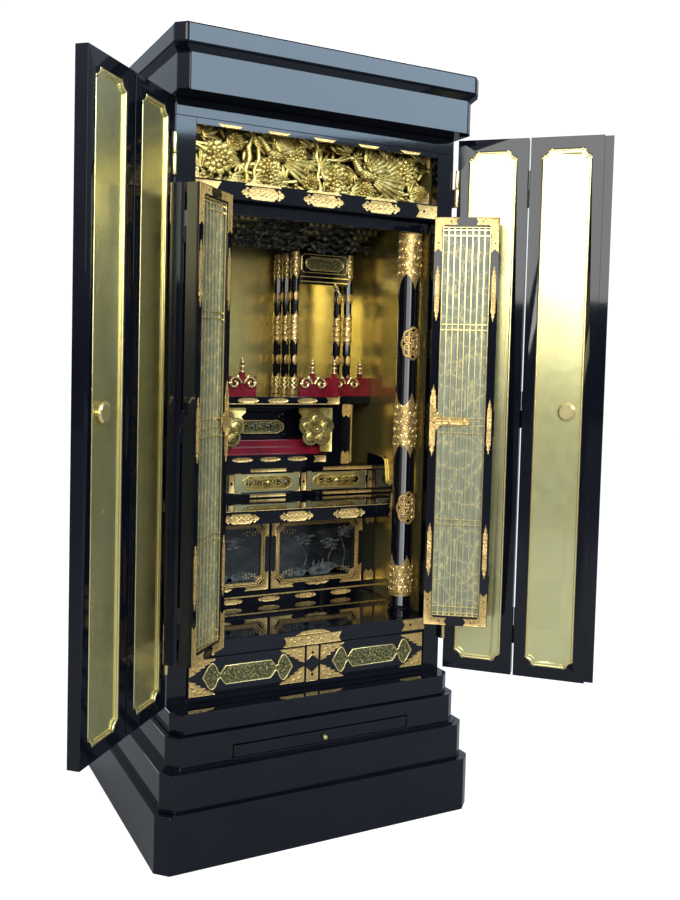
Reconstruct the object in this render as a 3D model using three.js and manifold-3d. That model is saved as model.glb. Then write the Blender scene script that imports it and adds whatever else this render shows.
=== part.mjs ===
// Household altar cabinet: a black lacquered case on a four-tier plinth, with a gilded shrine inside,
// folding outer doors, folding lattice inner doors and three drawers. Millimetres, +Z up.
// The front faces -Y. The origin is the middle of the plinth's underside.
import * as THREE from "three";
import Module from "manifold-3d";
import { mergeVertices } from "three/addons/utils/BufferGeometryUtils.js";

const wasm = await Module();
wasm.setup();

// Clearances
const fit = 0.3;
const slideGap = 1.5;
const doorGap = 2;

// Plinth: four frames, each set back from the one below at the front and the sides
const plinthHalfWidth = 380.6;
const plinthDepth = 620;
const frontFace = -plinthDepth / 2;
const backFace = plinthDepth / 2;
const tierRises = [120.8, 79.7, 67.8, 44.3];
const tierInsets = [0, 12.8, 28.3, 39.8];
const tierSetbacks = [0, 11.8, 27.5, 38.1];
const tierWall = 24;
const tierBoard = 12;
const cornerCut = 24.5;

// Case
const caseHalfWidth = 337.5;
const caseSetback = 94;
const postWidth = 42.5;
const postDepth = 22;
const sideBoard = 18;
const innerWallGap = 39.5;
const innerWallBoard = 6;
const backBoard = 12;
const backInset = 14;
const caseBoard = 12;

// Heights of the case front, from the plinth up
const bayFloorRise = 10.2;
const drawerHeight = 82;
const sillRise = 34.2;
const innerDoorHeight = 932;
const lintelRise = 37;
const transomHeight = 120.4;
const headRailRise = 36.4;
const crownBlockRise = 72.8;
const coveRise = 12.5;
const slabRise = 42.4;

// Crown
const crownBlockHalfWidth = 351.4;
const crownBlockSetback = 30.1;
const slabHalfWidth = 362.9;
const slabSetback = 17.2;
const crownWall = 20;
const crownCornerCut = 20.3;

// Drawers
const drawerDepth = 380;
const drawerWall = 9;
const drawerFront = 18;
const dividerHalfWidth = 16.5;
const plinthDrawerHalfWidth = 211;
const plinthDrawerHeight = 25.3;
const plinthDrawerRise = 9.1;
const plinthDrawerDepth = 300;
const plinthDrawerWall = 5;
const knobRadius = 5.5;
const knobLength = 11;

// Outer doors: two leaves a side, folding back black to black
const outerHingeOut = 5.5;
const outerHingeForward = 10;
const outerLeafWidth = 163;
const outerLeafThickness = 25;
const outerLeafClearance = 4.5;
const outerHingeEdge = 1;
const outerFoldGap = 5;
const outerOpenLeft = THREE.MathUtils.degToRad(133.5);
const outerOpenRight = THREE.MathUtils.degToRad(135);
const outerStile = 26;
const outerRail = 27;
const recessDepth = 8;
const notch = 15;
const panelMoulding = 9;
const panelPlate = 3;
const panelEdge = 6;
const coverStripWidth = 19.5;
const coverStripThickness = 13;
const discKnobRadius = 20;
const discKnobHeight = 12;

// Inner doors: two lattice leaves a side, folding inward face to face
const innerHingeForward = 4;
const innerHingeEdge = 1;
const innerFoldGap = 2;
const innerFoldBehind = 2.3;
const innerMeetingGap = 2;
const innerLeafThickness = 27;
const innerOpenLeft = THREE.MathUtils.degToRad(129);
const innerOpenRight = THREE.MathUtils.degToRad(141);
const innerFoldLeft = THREE.MathUtils.degToRad(173);
const innerFoldRight = THREE.MathUtils.degToRad(176);
const innerStile = 18.5;
const innerRailHeight = 21;
const latticeBars = 8;
const latticeBarWidth = 3.4;
const latticeBarDepth = 4;
const gauzeThickness = 2;

// Hinges: two brass knuckles each, one on either side of the joint
const outerHingeLength = 86;
const innerHingeLength = 62;
const outerKnuckle = 4.2;
const innerKnuckle = 3.2;
const foldKnuckle = 2.1;
const seamKnuckle = 2.3;
const flapThickness = 1.6;
const hingeReach = 11;
const hingeShares = [0.09, 0.5, 0.91];

// Inside fittings, as distances behind the plinth's front
const columnFromWall = 32;
const columnSetback = 160;
const columnRadius = 26;
const columnFoot = 31;
const shelfSetback = 195;
const shelfThickness = 33;
const cupboardSetback = 345;
const cupboardHeight = 226.5;
const cupboardBaseRise = 23;
const cupboardSplit = 262;
const lowerUnitSetback = 366;
const lowerUnitRise = 75;
const altarBaseSetback = 357;
const altarBaseHalfWidth = 153.2;
const altarBaseRise = 34;
const altarStepRise = 17;
const altarWaistRise = 60;
const altarCoveRise = 31;
const altarTopRise = 19;
const altarTopHalfWidth = 166;
const altarTopSetback = 315;
const altarWaistHalfWidth = 122;
const altarWaistSetback = 415;
const wingSetback = 390;
const wingPostFromWall = 84;
const wingFinialFromWall = 31.2;
const wingPostWidth = 27;
const railingRise = 53;
const railingThickness = 8;
const railingInnerX = 57.7;
const railingPost = 11;
const finialRise = 33;
const smallColumnRadius = 10.8;
const smallColumnRise = 370;
const innerColumnX = 98;
const outerColumnFromWall = 45;
const innerRow = [447, 500, 553];
const outerRow = [447, 507];
const shrineBeamRise = 22;
const shrinePanelSetback = 436;
const shrinePanelRise = 59;
const eaveSetback = 288;
const eaveMiddleHalfWidth = 140;
const bracketRise = 33;
const shrineBackGap = 20.4;
const carvingDepth = 26;
const transomSetback = 132;

// Materials
const lacquer = new THREE.MeshStandardMaterial({ color: 0x0c0d12, roughness: 0.12, metalness: 0 });
const goldLeaf = new THREE.MeshStandardMaterial({ color: 0xc9b04a, roughness: 0.32, metalness: 1 });
const gilt = new THREE.MeshStandardMaterial({ color: 0xe0c070, roughness: 0.4, metalness: 1 });
const carvedGold = new THREE.MeshStandardMaterial({ color: 0xc8a83c, roughness: 0.45, metalness: 1 });
const vermilion = new THREE.MeshStandardMaterial({ color: 0x7a1722, roughness: 0.3, metalness: 0 });
const gauze = new THREE.MeshStandardMaterial({ color: 0xb9bfa4, roughness: 0.7, metalness: 0.2 });
const smokedGold = new THREE.MeshStandardMaterial({ color: 0x5c5230, roughness: 0.5, metalness: 0.8 });

const cabinet = new THREE.Group();

// Solid modelling helpers
function toSolid(geometry) {
  const bare = geometry.clone();
  bare.deleteAttribute("normal");
  bare.deleteAttribute("uv");
  const merged = mergeVertices(bare, 1e-4);
  return new wasm.Manifold(new wasm.Mesh({
    numProp: 3,
    vertProperties: new Float32Array(merged.attributes.position.array),
    triVerts: new Uint32Array(merged.index.array),
  }));
}

function toGeometry(solid) {
  const mesh = solid.getMesh();
  const geometry = new THREE.BufferGeometry();
  geometry.setAttribute("position", new THREE.BufferAttribute(new Float32Array(mesh.vertProperties), 3));
  geometry.setIndex(new THREE.BufferAttribute(new Uint32Array(mesh.triVerts), 1));
  return geometry;
}

function join(geometries) {
  let solid = toSolid(geometries[0]);
  for (const geometry of geometries.slice(1)) {
    solid = solid.add(toSolid(geometry));
  }
  return toGeometry(solid);
}

function cut(geometry, tools) {
  let solid = toSolid(geometry);
  for (const tool of tools) {
    solid = solid.subtract(toSolid(tool));
  }
  return toGeometry(solid);
}

function box(x0, x1, y0, y1, z0, z1) {
  const geometry = new THREE.BoxGeometry(x1 - x0, y1 - y0, z1 - z0);
  geometry.translate((x0 + x1) / 2, (y0 + y1) / 2, (z0 + z1) / 2);
  return geometry;
}

// An outline in X and Y, raised from z0 to z1
function prism(points, z0, z1) {
  const shape = new THREE.Shape(points.map(([x, y]) => new THREE.Vector2(x, y)));
  const geometry = new THREE.ExtrudeGeometry(shape, { depth: z1 - z0, bevelEnabled: false });
  geometry.translate(0, 0, z0);
  return geometry;
}

// An outline in X and Z, laid from the front plane y0 back to y1
function slab(points, y0, y1) {
  const shape = new THREE.Shape(points.map(([x, z]) => new THREE.Vector2(x, z)));
  const geometry = new THREE.ExtrudeGeometry(shape, { depth: y1 - y0, bevelEnabled: false });
  geometry.rotateX(Math.PI / 2);
  geometry.translate(0, y1, 0);
  return geometry;
}

function rod(x, y, z0, z1, radius, sides) {
  const geometry = new THREE.CylinderGeometry(radius, radius, z1 - z0, sides);
  geometry.rotateX(Math.PI / 2);
  geometry.translate(x, y, (z0 + z1) / 2);
  return geometry;
}

// A profile of radius and height turned about a vertical axis
function turned(profile, x, y, z, sides) {
  const geometry = new THREE.LatheGeometry(profile.map(([r, h]) => new THREE.Vector2(r, h)), sides);
  geometry.rotateX(Math.PI / 2);
  geometry.translate(x, y, z);
  return geometry;
}

// A smooth lump: an ellipsoid of half-lengths a, b, c, turned by an angle in the X-Z plane
function lump(x, y, z, a, b, c, angle) {
  const geometry = new THREE.SphereGeometry(1, 5, 3);
  geometry.scale(a, b, c);
  geometry.rotateY(-angle);
  geometry.translate(x, y, z);
  return geometry;
}

// The same surface with its faces turned the other way out
function reversed(geometry) {
  const copy = mergeVertices(geometry, 1e-4);
  const index = copy.index.array;
  const flipped = [];
  for (let i = 0; i < index.length; i += 3) {
    flipped.push(index[i], index[i + 2], index[i + 1]);
  }
  copy.setIndex(flipped);
  return copy;
}

// The same shape on the other side of the cabinet
function mirrored(geometry) {
  const copy = geometry.clone();
  copy.scale(-1, 1, 1);
  return reversed(copy);
}

function place(name, geometry, material, group = cabinet) {
  const mesh = new THREE.Mesh(geometry, material);
  mesh.name = name;
  group.add(mesh);
  return mesh;
}

// A pair of like pieces: the shape is made for the right side and mirrored for the left
function placePair(name, geometry, material) {
  place(`${name}_right`, geometry, material);
  place(`${name}_left`, mirrored(geometry), material);
}

// A footprint with the two front corners cut at 45 degrees
function footprint(halfWidth, front, back, corner) {
  return [
    [-halfWidth, back],
    [-halfWidth, front + corner],
    [-halfWidth + corner, front],
    [halfWidth - corner, front],
    [halfWidth, front + corner],
    [halfWidth, back],
  ];
}

// A rectangle whose corners are notched inward by a quarter round
function notched(x0, x1, z0, z1, size) {
  const points = [];
  const steps = 3;
  const corners = [[x0, z0, 1, 1], [x1, z0, -1, 1], [x1, z1, -1, -1], [x0, z1, 1, -1]];
  corners.forEach(([x, z, sx, sz], number) => {
    const arc = [];
    for (let i = 0; i <= steps; i += 1) {
      const turn = (Math.PI / 2) * (i / steps);
      arc.push([x + sx * size * Math.cos(turn), z + sz * size * Math.sin(turn)]);
    }
    points.push(...(number % 2 === 0 ? arc.reverse() : arc));
  });
  return points;
}

// Levels
const levels = [0];
for (const rise of tierRises) {
  levels.push(levels.at(-1) + rise);
}
const plinthTop = levels.at(-1);
const bayFloorTop = plinthTop + bayFloorRise;
const sillBottom = bayFloorTop + drawerHeight + 2 * slideGap;
const sillTop = sillBottom + sillRise;
const lintelBottom = sillTop + innerDoorHeight + 2 * doorGap;
const lintelTop = lintelBottom + lintelRise;
const transomTop = lintelTop + transomHeight;
const caseTop = transomTop + headRailRise;
const caseFront = frontFace + caseSetback;
const postInnerX = caseHalfWidth - postWidth;
const wallInnerX = caseHalfWidth - innerWallGap;
const caseBackInner = backFace - backInset - backBoard;
const outerHingeX = caseHalfWidth + outerHingeOut;
const columnX = wallInnerX - columnFromWall;
const wingPostX = wallInnerX - wingPostFromWall;
const outerColumnX = wallInnerX - outerColumnFromWall;

// Plinth
tierRises.forEach((rise, number) => {
  const halfWidth = plinthHalfWidth - tierInsets[number];
  const front = frontFace + tierSetbacks[number];
  const low = levels[number];
  const high = levels[number + 1] - fit;
  const hollowLow = number === 0 ? low + tierBoard : low - 1;
  const hollowHigh = number === tierRises.length - 1 ? high - tierBoard : high + 1;
  const inside = halfWidth - tierWall;
  const tools = [box(-inside, inside, front + tierWall, backFace - tierWall, hollowLow, hollowHigh)];
  if (number === 2) {
    const drawerLow = low + plinthDrawerRise - slideGap;
    const reach = plinthDrawerHalfWidth + slideGap;
    const drawerTop = drawerLow + plinthDrawerHeight + 2 * slideGap;
    tools.push(box(-reach, reach, front - 1, front + tierWall + 1, drawerLow, drawerTop));
  }
  const tier = prism(footprint(halfWidth, front, backFace, cornerCut), low, high);
  place(`plinth_tier_${number + 1}`, cut(tier, tools), lacquer);
});

// A tray with a thicker front board, open above
function drawer(x0, x1, front, depth, z0, height, wall, frontBoard) {
  const back = front + depth;
  const hollow = box(x0 + wall, x1 - wall, front + frontBoard, back - wall, z0 + wall, z0 + height + 1);
  return cut(box(x0, x1, front, back, z0, z0 + height), [hollow]);
}

const plinthDrawerFront = frontFace + tierSetbacks[2];
const plinthDrawerLow = levels[2] + plinthDrawerRise;
place("plinth_drawer", drawer(-plinthDrawerHalfWidth, plinthDrawerHalfWidth, plinthDrawerFront,
  plinthDrawerDepth, plinthDrawerLow, plinthDrawerHeight, plinthDrawerWall, drawerFront), lacquer);

// A turned pull, its axis along Y, standing out from the plane y
function pull(x, y, z, radius, length, sides) {
  const neck = radius * 0.55;
  const profile = [[0, 0], [neck, 0], [neck, length * 0.4], [radius, length * 0.6],
    [radius * 0.8, length * 0.9], [0, length]];
  const geometry = new THREE.LatheGeometry(profile.map(([r, h]) => new THREE.Vector2(r, -h)), sides);
  geometry.translate(x, y, z);
  return geometry;
}

// A turned or outlined solid, faces outward whichever way its profile runs
function closed(geometry) {
  const bare = geometry.clone();
  bare.deleteAttribute("normal");
  bare.deleteAttribute("uv");
  const solid = toSolid(bare);
  return toGeometry(solid.volume() < 0 ? toSolid(reversed(bare)) : solid);
}

place("plinth_drawer_knob", closed(pull(0, plinthDrawerFront - fit, plinthDrawerLow + plinthDrawerHeight / 2,
  knobRadius, knobLength, 10)), gilt);

// Drawer bay
const bayHalfWidth = postInnerX - fit;
const drawerBack = caseFront + drawerDepth;
place("drawer_bay_floor", join([
  box(-bayHalfWidth, bayHalfWidth, caseFront, caseBackInner - fit, plinthTop, bayFloorTop),
  box(-dividerHalfWidth, dividerHalfWidth, caseFront, drawerBack, bayFloorTop - 1, sillBottom - fit),
]), lacquer);
placePair("lower_drawer", drawer(dividerHalfWidth + slideGap, postInnerX - slideGap - doorGap, caseFront,
  drawerDepth, bayFloorTop + slideGap, drawerHeight, drawerWall, drawerFront), lacquer);
place("sill_rail", box(-bayHalfWidth, bayHalfWidth, caseFront, caseFront + drawerFront * 2,
  sillBottom, sillTop), lacquer);
place("altar_floor", box(-bayHalfWidth, bayHalfWidth, caseFront + drawerFront * 2 + fit, caseBackInner - fit,
  sillTop - caseBoard, sillTop), lacquer);

// Case boards
const hingeHeights = (low, high) => hingeShares.map((share) => low + (high - low) * share);
const outerDoorLow = plinthTop + outerLeafClearance;
const outerDoorHigh = caseTop - outerLeafClearance;
const innerDoorLow = sillTop + doorGap;
const innerDoorHigh = lintelBottom - doorGap;
const outerHingeY = caseFront - outerHingeForward;
const innerHingeY = caseFront - innerHingeForward;

// The fixed half of each hinge: a knuckle below the joint's middle and a flap back to what carries it
function fixedKnuckle(x, y, z, length, radius, flap) {
  const low = z - length / 2;
  const high = z - fit;
  return [rod(x, y, low, high, radius, 6), box(...flap, low, high)];
}

function casePost() {
  const postBack = caseFront + postDepth;
  const parts = [box(postInnerX, caseHalfWidth, caseFront, postBack, plinthTop, transomTop - fit)];
  for (const z of hingeHeights(outerDoorLow, outerDoorHigh)) {
    const flapFront = outerHingeY + fit;
    const flap = [caseHalfWidth - 1, outerHingeX + flapThickness / 2, flapFront, flapFront + flapThickness];
    const plate = [caseHalfWidth - 1, caseHalfWidth + flapThickness, flapFront, caseFront + postDepth];
    parts.push(...fixedKnuckle(outerHingeX, outerHingeY, z, outerHingeLength, outerKnuckle, flap));
    parts.push(box(...plate, z - outerHingeLength / 2, z - fit));
  }
  for (const z of hingeHeights(innerDoorLow, innerDoorHigh)) {
    const flap = [postInnerX - 0.5, postInnerX + hingeReach, innerHingeY + 1, caseFront + 1];
    parts.push(...fixedKnuckle(postInnerX - 0.5, innerHingeY, z, innerHingeLength, innerKnuckle, flap));
  }
  return join(parts);
}
placePair("front_post", casePost(), lacquer);

placePair("case_side", box(caseHalfWidth - sideBoard, caseHalfWidth, caseFront + postDepth + fit,
  backFace - fit, plinthTop, caseTop - fit), lacquer);
// The gilded lining of the shrine: two side walls and a ceiling on the back board
const liningFront = caseFront + innerLeafThickness + 12;
const wallOuterX = wallInnerX + innerWallBoard;
const backHalfWidth = caseHalfWidth - sideBoard - fit;
const ceilingLow = lintelTop - 14;
const liningTop = transomTop - fit;
const backTop = caseTop - fit;
place("gilded_lining", join([
  box(wallInnerX, wallOuterX, liningFront, caseBackInner + 1, sillTop + fit, liningTop),
  box(-wallOuterX, -wallInnerX, liningFront, caseBackInner + 1, sillTop + fit, liningTop),
  box(-wallInnerX - 1, wallInnerX + 1, liningFront, caseBackInner + 1, ceilingLow, lintelTop - 5),
  box(-backHalfWidth, backHalfWidth, caseBackInner, caseBackInner + backBoard, plinthTop, backTop),
]), goldLeaf);
place("head_rail", box(-caseHalfWidth, caseHalfWidth, caseFront, caseFront + postDepth, transomTop,
  caseTop - fit), lacquer);
const lintelHalfWidth = postInnerX - fit;
const stopFront = caseFront + innerLeafThickness + 3;
place("lintel", join([
  box(-lintelHalfWidth, lintelHalfWidth, caseFront, caseFront + postDepth, lintelBottom, lintelTop - fit),
  box(-lintelHalfWidth, lintelHalfWidth, stopFront, stopFront + 8, lintelBottom - 27, lintelTop - fit),
  box(-lintelHalfWidth, lintelHalfWidth, caseFront + 5, stopFront + 2, lintelTop - 9, lintelTop - fit),
]), lacquer);

// Crown
const crownFront = frontFace + crownBlockSetback;
const blockTop = caseTop + crownBlockRise;
const coveTop = blockTop + coveRise;
const slabFront = frontFace + slabSetback;
// The cove leans out from the block to the slab
function cove() {
  const outline = footprint(1, 0, 1, 0);
  const lower = footprint(crownBlockHalfWidth, crownFront, backFace, crownCornerCut);
  const upper = footprint(slabHalfWidth, slabFront, backFace, crownCornerCut);
  const geometry = prism(outline.map((_, i) => lower[i]), blockTop, coveTop);
  const position = geometry.attributes.position;
  for (let i = 0; i < position.count; i += 1) {
    if (position.getZ(i) > blockTop + coveRise / 2) {
      const away = ([x, y]) => Math.hypot(x - position.getX(i), y - position.getY(i));
      const near = lower.findIndex((corner) => away(corner) < 0.01);
      position.setX(i, upper[near][0]);
      position.setY(i, upper[near][1]);
    }
  }
  return geometry;
}
const blockOutline = footprint(crownBlockHalfWidth, crownFront, backFace, crownCornerCut);
const blockInside = crownBlockHalfWidth - crownWall;
const crownBack = backFace - crownWall;
place("crown_block", cut(join([prism(blockOutline, caseTop, blockTop + 0.5), cove()]), [
  box(-blockInside, blockInside, crownFront + crownWall, crownBack, caseTop + caseBoard, coveTop + 1),
]), lacquer);
const slabOutline = footprint(slabHalfWidth, slabFront, backFace, crownCornerCut);
const slabInside = slabHalfWidth - crownWall * 2;
const slabTop = coveTop + slabRise;
place("crown_slab", cut(prism(slabOutline, coveTop + fit, slabTop), [
  box(-slabInside, slabInside, slabFront + crownWall * 2, backFace - crownWall * 2, coveTop - 1,
    slabTop - caseBoard),
]), lacquer);

// Columns beside the shrine, standing just behind the inner doors
const columnY = frontFace + columnSetback;
const columnHigh = lintelTop - 14 - fit;
const columnRise = columnHigh - sillTop - fit;
const columnProfile = [[0, 0], [columnFoot, 0], [columnFoot, 7], [columnFoot - 4, 11],
  [columnFoot - 4, 20], [columnRadius, 26], [columnRadius, columnRise], [0, columnRise]];
placePair("column", closed(turned(columnProfile, columnX, columnY, sillTop + fit, 14)), lacquer);

// Cupboard with two framed picture panels, and the polished shelf over it
const shelfLow = sillTop + cupboardHeight;
const shelfTop = shelfLow + shelfThickness;
const insideHalfWidth = wallInnerX - fit;
const cupboardFront = frontFace + cupboardSetback;
const insideBack = caseBackInner - 2 * fit;
const cupboardLow = sillTop + fit;
const cupboardTop = shelfLow - fit;
const panelLow = cupboardLow + cupboardBaseRise + 9;
const cupboardBlock = box(-insideHalfWidth, insideHalfWidth, cupboardFront, insideBack, cupboardLow,
  cupboardTop);
place("cupboard", cut(cupboardBlock, [box(-cupboardSplit, cupboardSplit, cupboardFront - 1,
  insideBack - caseBoard, panelLow, cupboardTop - caseBoard)]), lacquer);

// A framed panel: a board with a notched recess, for a picture or a carving
function framedPanel(x0, x1, front, depth, z0, z1, frame, recess) {
  const inner = notched(x0 + frame, x1 - frame, z0 + frame, z1 - frame, notch);
  return cut(box(x0, x1, front, front + depth, z0, z1), [slab(inner, front - 1, front + recess)]);
}
placePair("cupboard_panel", framedPanel(1, cupboardSplit - fit, cupboardFront, 10,
  panelLow + fit, cupboardTop - fit - caseBoard, 20, 4), lacquer);

const shelfFront = frontFace + shelfSetback;
place("polished_shelf", box(-insideHalfWidth, insideHalfWidth, shelfFront, insideBack, shelfLow,
  shelfTop - fit), lacquer);

// Low carved unit on the shelf, with three oblong carvings
const unitFront = frontFace + lowerUnitSetback;
const unitTop = shelfTop + lowerUnitRise;
const unitBay = insideHalfWidth / 3;
const unitUpright = 15;
const unitRail = 12;
const unitBlock = box(-insideHalfWidth, insideHalfWidth, unitFront, insideBack, shelfTop, unitTop - fit);
const bayReach = unitBay - unitUpright / 2;
const unitFrame = cut(unitBlock, [-1, 0, 1].map((bay) => box(bay * 2 * unitBay - bayReach,
  bay * 2 * unitBay + bayReach, unitFront - 1, unitFront + 7, shelfTop + unitRail, unitTop - unitRail)));

// A cloud-ended oblong with a row of leaves and blooms on it
function oblongCarving(x, front, z, halfLength, halfHeight) {
  const outline = notched(x - halfLength, x + halfLength, z - halfHeight, z + halfHeight, halfHeight * 0.6);
  const parts = [slab(outline, front + 4, front + 8)];
  const blooms = 5;
  for (let i = 0; i < blooms; i += 1) {
    const share = (i + 0.5) / blooms - 0.5;
    const size = halfHeight * (0.62 - Math.abs(share) * 0.35);
    const lean = i % 2 === 0 ? 0.5 : -0.5;
    parts.push(lump(x + share * 2 * halfLength * 0.86, front + 4, z, size * 1.25, 4, size, lean));
  }
  return join(parts);
}
place("lower_unit", join([unitFrame, ...[-1, 0, 1].map((bay) => oblongCarving(bay * 2 * unitBay, unitFront,
  (shelfTop + unitTop) / 2, unitBay * 0.72, lowerUnitRise * 0.27))]), lacquer);

// Altar: base with two red steps, carved waist, spreading cove and top board
const altarBaseFront = frontFace + altarBaseSetback;
const altarBaseTop = unitTop + altarBaseRise;
const stepSetback = 12;
const altarBack = insideBack;
const stepHalfWidth = altarBaseHalfWidth - stepSetback;
const upperStepHalfWidth = altarBaseHalfWidth - 2 * stepSetback;
const stepFront = altarBaseFront + stepSetback;
const waistLow = altarBaseTop + 2 * altarStepRise;
place("altar_base", join([
  box(-altarBaseHalfWidth, altarBaseHalfWidth, altarBaseFront, altarBack, unitTop, altarBaseTop),
  box(-stepHalfWidth, stepHalfWidth, stepFront, altarBack, altarBaseTop - 1, altarBaseTop + altarStepRise),
  box(-upperStepHalfWidth, upperStepHalfWidth, stepFront + stepSetback, altarBack, altarBaseTop,
    waistLow - fit),
]), vermilion);
const waistTop = waistLow + altarWaistRise;
const waistFront = frontFace + altarWaistSetback;
const waistRecess = altarWaistHalfWidth * 0.55;
const waistBlock = cut(
  box(-altarWaistHalfWidth, altarWaistHalfWidth, waistFront, altarBack, waistLow, waistTop - fit),
  [slab(notched(-waistRecess, waistRecess, waistLow + 9, waistTop - 9, 8), waistFront - 1, waistFront + 6)],
);
place("altar_waist", join([waistBlock, oblongCarving(0, waistFront, (waistLow + waistTop) / 2,
  altarWaistHalfWidth * 0.5, altarWaistRise * 0.28)]), lacquer);
const altarTopLow = waistTop + altarCoveRise;
const altarTop = altarTopLow + altarTopRise;
const altarTopFront = frontFace + altarTopSetback;

// The cove under the altar's top spreads in three quarter-round steps
function altarTopSolid() {
  const edge = altarTopHalfWidth;
  const parts = [box(-edge, edge, altarTopFront, altarBack, altarTopLow, altarTop)];
  const steps = 4;
  for (let i = 0; i < steps; i += 1) {
    const share = 1 - Math.cos((Math.PI / 2) * ((i + 1) / (steps + 0.5)));
    const halfWidth = altarWaistHalfWidth + (edge - altarWaistHalfWidth) * share;
    const front = waistFront + (altarTopFront - waistFront) * share;
    const low = waistTop + (altarCoveRise * i) / steps;
    parts.push(box(-halfWidth, halfWidth, front, altarBack, low, altarTopLow + 1));
  }
  return join(parts);
}
place("altar_top", altarTopSolid(), lacquer);

// Side wings of the altar: a top board to the wall on a framed block
const wingFront = frontFace + wingSetback;
const wingInner = altarTopHalfWidth + fit;
placePair("altar_wing", join([
  box(wingInner, insideHalfWidth, wingFront, altarBack, altarTopLow, altarTop),
  box(wingInner, wingPostX + wingPostWidth, wingFront + 8, altarBack, unitTop, altarTopLow + 1),
  box(wingPostX, wingPostX + wingPostWidth, wingFront + 2, wingFront + 12, unitTop, altarTopLow + 1),
]), lacquer);

// Gold bracket beside the waist: a flat ground with a five-lobed bloom
const bloomRadius = 47;
const bloomX = 121;
function flowerBracket() {
  const y = altarBaseFront - 9;
  const z = waistLow + altarWaistRise * 0.47;
  const high = altarTopLow - altarCoveRise * 0.25 - fit;
  const outer = altarBaseHalfWidth + 12;
  const parts = [slab([[bloomX - bloomRadius * 1.1, high], [outer, high], [outer, altarBaseTop + fit],
    [altarBaseHalfWidth - 20, altarBaseTop + fit], [bloomX - bloomRadius * 0.4, waistLow + 4]], y, y + 5)];
  for (let i = 0; i < 5; i += 1) {
    const turn = Math.PI / 2 + (i * 2 * Math.PI) / 5;
    parts.push(lump(bloomX + Math.cos(turn) * bloomRadius * 0.58, y, z + Math.sin(turn) * bloomRadius * 0.5,
      bloomRadius * 0.4, 6, bloomRadius * 0.36, turn));
  }
  parts.push(lump(bloomX, y - 1, z, 11, 8, 11, 0));
  return join(parts);
}
placePair("flower_bracket", flowerBracket(), carvedGold);

// Red railings with gold finials
function finial(x, y, z) {
  const profile = [[0, 0], [4, 0], [6.5, 7], [3, 12], [5.5, 19], [2.5, 26], [0, finialRise]];
  return closed(turned(profile, x, y, z, 6));
}
function railing(x0, x1, front, posts) {
  const low = altarTop + fit;
  const parts = [
    box(x0, x1, front, front + railingThickness * 1.6, low, low + railingRise * 0.28),
    box(x0, x1, front + 2, front + railingThickness, low, low + railingRise * 0.9),
  ];
  for (const x of posts) {
    const half = railingPost / 2;
    parts.push(box(x - half, x + half, front, front + railingPost, low, low + railingRise + 8));
    parts.push(finial(x, front + railingPost / 2, low + railingRise + 7));
  }
  return join(parts);
}
placePair("altar_railing", railing(railingInnerX, altarTopHalfWidth - 1, altarTopFront + 1,
  [railingInnerX + 35.2, altarTopHalfWidth - 12.4]), vermilion);
placePair("wing_railing", railing(altarTopHalfWidth + 8, insideHalfWidth - 1, wingFront + 1,
  [wallInnerX - wingFinialFromWall]), vermilion);

// Shrine: rows of slender columns carrying beams, with a framed panel between them
const smallLow = altarTop + fit;
const smallHigh = smallLow + smallColumnRise;
const beamTop = smallHigh + shrineBeamRise;
const beamHalf = smallColumnRadius + 2;
function columnRow(x, row) {
  return row.map((setback) => rod(x, frontFace + setback, smallLow, smallHigh + 1, smallColumnRadius, 8));
}

function rowBeam(x, row) {
  const front = frontFace + row[0] - beamHalf;
  return box(x - beamHalf, x + beamHalf, front, frontFace + row.at(-1) + beamHalf, smallHigh, beamTop);
}

const shrinePanelLow = smallHigh - shrinePanelRise;
const shrinePanelY = frontFace + shrinePanelSetback;
const bayLow = innerColumnX + smallColumnRadius - 4;
const bayHigh = outerColumnX - smallColumnRadius + 4;
placePair("shrine_frame", join([
  ...columnRow(innerColumnX, innerRow),
  ...columnRow(outerColumnX, outerRow),
  rowBeam(innerColumnX, innerRow),
  rowBeam(outerColumnX, outerRow),
  box(innerColumnX, outerColumnX, shrinePanelY - 2, frontFace + innerRow[0] + beamHalf, smallHigh, beamTop),
  framedPanel(bayLow, bayHigh, shrinePanelY, 8, shrinePanelLow, smallHigh + 1, 6, 4),
  box(bayLow, bayHigh, shrinePanelY - 3, shrinePanelY + 9, shrinePanelLow - 12, shrinePanelLow + 1),
  box(bayLow, bayHigh, shrinePanelY - 1, shrinePanelY + 7, shrinePanelLow - 24, shrinePanelLow - 11),
]), lacquer);

// Roof: eaves carried on three tiers of brackets that step forward from each group of columns
function shrineRoof() {
  const low = beamTop + fit;
  const eaveLow = low + bracketRise;
  const eaveTop = lintelTop - 14 - fit;
  const eaveFront = frontFace + eaveSetback;
  const back = insideBack - shrineBackGap;
  const edge = insideHalfWidth - 8;
  const tiers = 3;
  const tierRise = bracketRise / tiers;
  const parts = [
    box(-edge, edge, eaveFront + columnRadius * 2, back, eaveLow, eaveTop),
    box(-eaveMiddleHalfWidth, eaveMiddleHalfWidth, eaveFront, back, eaveLow + 6, eaveTop),
  ];
  for (const x of [-outerColumnX, -innerColumnX, innerColumnX, outerColumnX]) {
    const reachFront = Math.abs(x) === innerColumnX ? eaveFront : eaveFront + columnRadius * 2;
    const columnFront = frontFace + innerRow[0] - beamHalf;
    for (let i = 0; i < tiers; i += 1) {
      const spread = beamHalf + 2 + i * 9;
      const front = columnFront + ((reachFront - columnFront) * (i + 0.6)) / tiers;
      const tierLow = low + i * tierRise;
      parts.push(box(x - spread, x + spread, front, back - columnRadius, tierLow, tierLow + tierRise + 1));
    }
  }
  return join(parts);
}
place("shrine_roof", shrineRoof(), smokedGold);

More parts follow.
